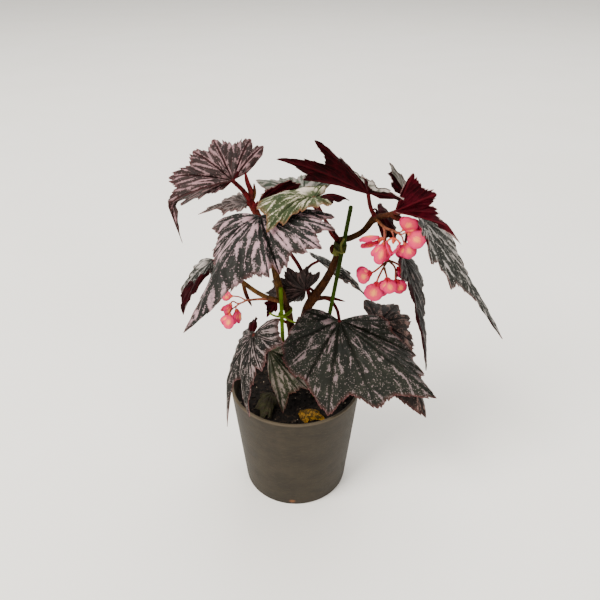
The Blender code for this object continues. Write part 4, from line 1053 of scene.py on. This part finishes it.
def makeBloom(node, row, look):
    bm = stemMesh()
    for word in petalLayers:
        bm.verts.layers.float.new(word)
    lean, size, twist = tepal["lean"], row["size"], row.get("twist", 10)
    feet = [addTepal(bm, row, lean, size, -twist * 0.3), addTepal(bm, row, -lean, size * 0.98, twist)]
    if "apart" not in row:
        # the smaller third and fourth tepals
        small = tepal["small"]
        for turn in (1, -1):
            addTepal(
                bm, row, turn * small["lean"], size * small["size"], turn * small["twist"], small["slim"])
    petals = newPiece(pieceName(node), bm, [look], 180)
    bm = solidMesh(petals, tepal["thick"])
    known = set(bm.verts)
    at, hang = Vector(row["at"]), Vector(row["hang"]).normalized()
    tints = shades("stalk", "bloom")
    growTube(bm, [at + hang * s for s, r in pod], [r for s, r in pod], tints, 12)
    if "apart" in row:
        # each of the two has its own short stalk
        for foot in feet:
            way = [at - hang * 0.8, at.lerp(foot, 0.6) + hang * 0.4, foot + hang * 3.2]
            growStem(bm, way, 4, lambda i, count: 0.8, tints, 10)
    if "red" in row:
        # three wings of the seed pod
        first = hang.orthogonal()
        for turn in (0, 60, 120):
            flatWay = Matrix.Rotation(math.radians(turn), 3, hang) @ first
            growTube(bm, [at + hang * s for s, r in wing], [r for s, r in wing], tints, 12, 0.16, flatWay)
    red = bm.verts.layers.float["red"]
    for v in bm.verts:
        if v not in known:
            v[red] = row.get("red", 0.45)
    bmesh.ops.recalc_face_normals(bm, faces=[f for f in bm.faces if f.verts[0] not in known])
    fillMesh(petals.data, bm, 70)
    standFor(petals, node)


# Stakes and ties

# each stake goes from its low colour at the foot to its high colour at the head; the two are a lit and a
# shaded tone of the one green plastic, painted light and shade along the rod
stakes = dict(
    stake_left=dict(
        foot=(-9.0, -4.0, 52.0), head=(-12.0, -4.0, 214.0), low=tint(66, 92, 10), high=tint(80, 104, 16)),
    stake_right=dict(
        foot=(10.5, -3.6, 52.0), head=(44.0, -3.0, 287.0), low=tint(56, 84, 8), high=tint(26, 40, 6)),
)
# The rod's radius, and its ends as (distance from the end, radius)
rod = dict(
    radius=1.75, steps=25, headLength=1.5, foot=((0, 0.5), (4, 1.3), (9, 1.75)),
    head=((1.2, 1.74), (0.6, 1.6), (0.2, 1.3), (0.0, 0.9)))
# rows are how far above the tie's height each turn is, and the turns below free hold the cane alone
ties = dict(
    tie_left=dict(
        stake="stake_left", height=187.0, cane=(-7.0, 5.0, 187.0), caneRadius=3.6, wire=0.8, slope=0.0,
        rows=(-1.1, 0.3), free=-90, low=tint(104, 124, 38), high=tint(84, 104, 26), ends=(
            ((-10.5, -6.4, 187), (-12.5, -7, 187), (-17, -7.5, 188), (-22, -6, 190)),
            ((-11.5, -6.4, 187), (-10, -7.2, 187), (-5, -8, 184), (0, -7, 181)))),
    tie_right=dict(
        stake="stake_right", height=248.5, cane=(36.2, 5.0, 248.0), caneRadius=3.4, wire=0.85, slope=0.24,
        rows=(-6.3, -5.0, -3.7, -2.4, -1.1, 0.2, 1.5, 2.8, 4.1), free=-2.0,
        low=tint(98, 98, 46), high=tint(42, 46, 12),
        ends=(((38, -5.4, 248), (38, -6.6, 249), (37, -7.3, 255), (39.5, -7, 261)),)),
)


def plasticLook():
    graph = Graph("plasticGreen")
    skin = graph.attribute("tint", "Color")
    dark = graph.paint(skin, (1.0, tint(190, 185, 170)), blend="MULTIPLY")
    fibres = graph.noise(0.7, 3, 0.6, graph.scaled((1, 1, 0.08)))
    clouds = graph.noise(9)
    colour = graph.paint(dark, ((clouds * 0.6 + fibres * 0.4).rise(0.35, 0.65), skin))
    return graph.finish(colour, 0.5 + fibres * 0.16, fibres, 0.12, shine=0.04)


def stakeAt(name, z):
    foot, head = Vector(stakes[name]["foot"]), Vector(stakes[name]["head"])
    return foot.lerp(head, (z - foot.z) / (head.z - foot.z))


def makeStake(node, row, look):
    bm = stemMesh()
    foot, head = Vector(row["foot"]), Vector(row["head"])
    along, length = (head - foot).normalized(), (head - foot).length
    start, steps = rod["foot"][-1][0], rod["steps"]
    middle = length - start - rod["headLength"]
    between = [foot + along * (start + middle * i / steps) for i in range(1, steps)]
    run = [foot + along * s for s, r in rod["foot"]] + between + [head - along * s for s, r in rod["head"]]
    radii = [rod["radius"] + 0.05 * noise.noise(place * 0.2) for place in between]
    radii = [r for s, r in rod["foot"]] + radii + [r for s, r in rod["head"]]
    # painted light and shade along the rod, from the lit tone to the shaded one or back
    growTube(bm, run, radii, [row["low"], row["high"]], 20)
    finishStems(bm, node, "Rod", look)


def makeTie(node, row, look):
    bm = stemMesh()
    for raised in row["rows"]:
        # the turns below the tie's height take the lit tone and those above it the shaded one, painted light
        # and shade on the one tape
        shade = row["low" if raised < 0 else "high"]
        post = stakeAt(row["stake"], row["height"] + raised)
        cane = Vector(row["cane"]) + Vector((row["slope"] * raised, 0, 0))
        cane.z = post.z
        along = (cane - post).normalized()
        across = Vector((-along.y, along.x, 0))
        # half a turn round the cane and half a turn round the stake
        loop = []
        second = (cane, row["caneRadius"], -1) if raised < row["free"] else (post, rod["radius"], -1)
        for centre, radius, sign in ((cane, row["caneRadius"], 1), second):
            reach = radius + row["wire"] * 0.8
            for step, angle in enumerate(range(-84, 85, 12)):
                a = math.radians(angle)
                drop = Vector((0, 0, 0.25 * math.sin(step * 1.3 + raised)))
                outward = along * math.cos(a) * sign + across * math.sin(a) * sign
                loop.append(centre + outward * reach + drop)
        growStem(bm, loop + loop[:3], 2, lambda i, count: row["wire"], [shade, shade], 10)
    # the loose ends run from the shaded tone to the lit one, painted light and shade
    ends = [row["high"], row["low"]]
    for way in row["ends"]:
        growStem(bm, way, 7, lambda i, count: row["wire"] * (1.35 - 0.4 * i / count), ends, 10)
    finishStems(bm, node, "Band", look)


makePot()
makeSoil()
print("pot and soil made")
makeLeaves()
stemSkin = stemLook()
for node in canes:
    makeCane(node, stemSkin)
print("canes made:", len(canes))
petalSkin = bloomLook()
for group in blooms.values():
    for name, row in group.items():
        makeBloom("bloom_" + name, row, petalSkin)
print("blooms made:", sum(len(group) for group in blooms.values()))
plastic = plasticLook()
for node, row in stakes.items():
    makeStake(node, row, plastic)
for node, row in ties.items():
    makeTie(node, row, plastic)
print("stakes and ties made")


# Stage, lights and camera

view = dict(place=(4.3, -440.0, 468.0), down=31.4, focal=601.7, picture=600, sensor=36.0)
lamps = dict(
    window=dict(place=(-2.2, -1.7, 3.2), power=262.0, size=2.0, colour=(1.0, 0.965, 0.91)),
    sky=dict(place=(0.6, 1.6, 3.6), power=104.0, size=3.0, colour=(1.0, 0.985, 0.96)),
    fill=dict(place=(2.6, -2.6, 1.8), power=44.0, size=2.0, colour=(1.0, 0.96, 0.9)),
)
# Places on the stage are in metres; aim is where the lamps point
stage = dict(floor=12.0, aim=(0.02, -0.01, 0.2), air=(1.0, 0.98, 0.945, 1), glow=0.86)


def makeStage():
    bm = bmesh.new()
    bmesh.ops.create_grid(bm, x_segments=2, y_segments=2, size=stage["floor"])
    graph = Graph("floorPale")
    clouds = graph.noise(240, 3)
    colour = graph.paint(tint(250, 247, 240), (clouds.rise(0.3, 0.7), tint(252, 249, 243)))
    floor = newPiece("floor", bm, [graph.finish(colour, 0.7)])
    for name, row in lamps.items():
        light = bpy.data.lights.new(name, "AREA")
        light.energy = row["power"]
        light.size = row["size"]
        light.color = row["colour"]
        lamp = bpy.data.objects.new(name, light)
        lamp.location = row["place"]
        aim = Vector(stage["aim"]) - Vector(row["place"])
        lamp.rotation_euler = aim.to_track_quat("-Z", "Y").to_euler()
        bpy.context.scene.collection.objects.link(lamp)
    world = bpy.data.worlds.new("studio")
    world.use_nodes = True
    world.node_tree.nodes["Background"].inputs["Color"].default_value = stage["air"]
    world.node_tree.nodes["Background"].inputs["Strength"].default_value = stage["glow"]
    bpy.context.scene.world = world


def makeCamera():
    data = bpy.data.cameras.new("camera")
    data.sensor_width = view["sensor"]
    data.lens = view["sensor"] * view["focal"] / view["picture"]
    camera = bpy.data.objects.new("camera", data)
    camera.location = Vector(view["place"]) * mm
    camera.rotation_euler = (math.radians(90 - view["down"]), 0, 0)
    bpy.context.scene.collection.objects.link(camera)
    bpy.context.scene.camera = camera


makeStage()
makeCamera()
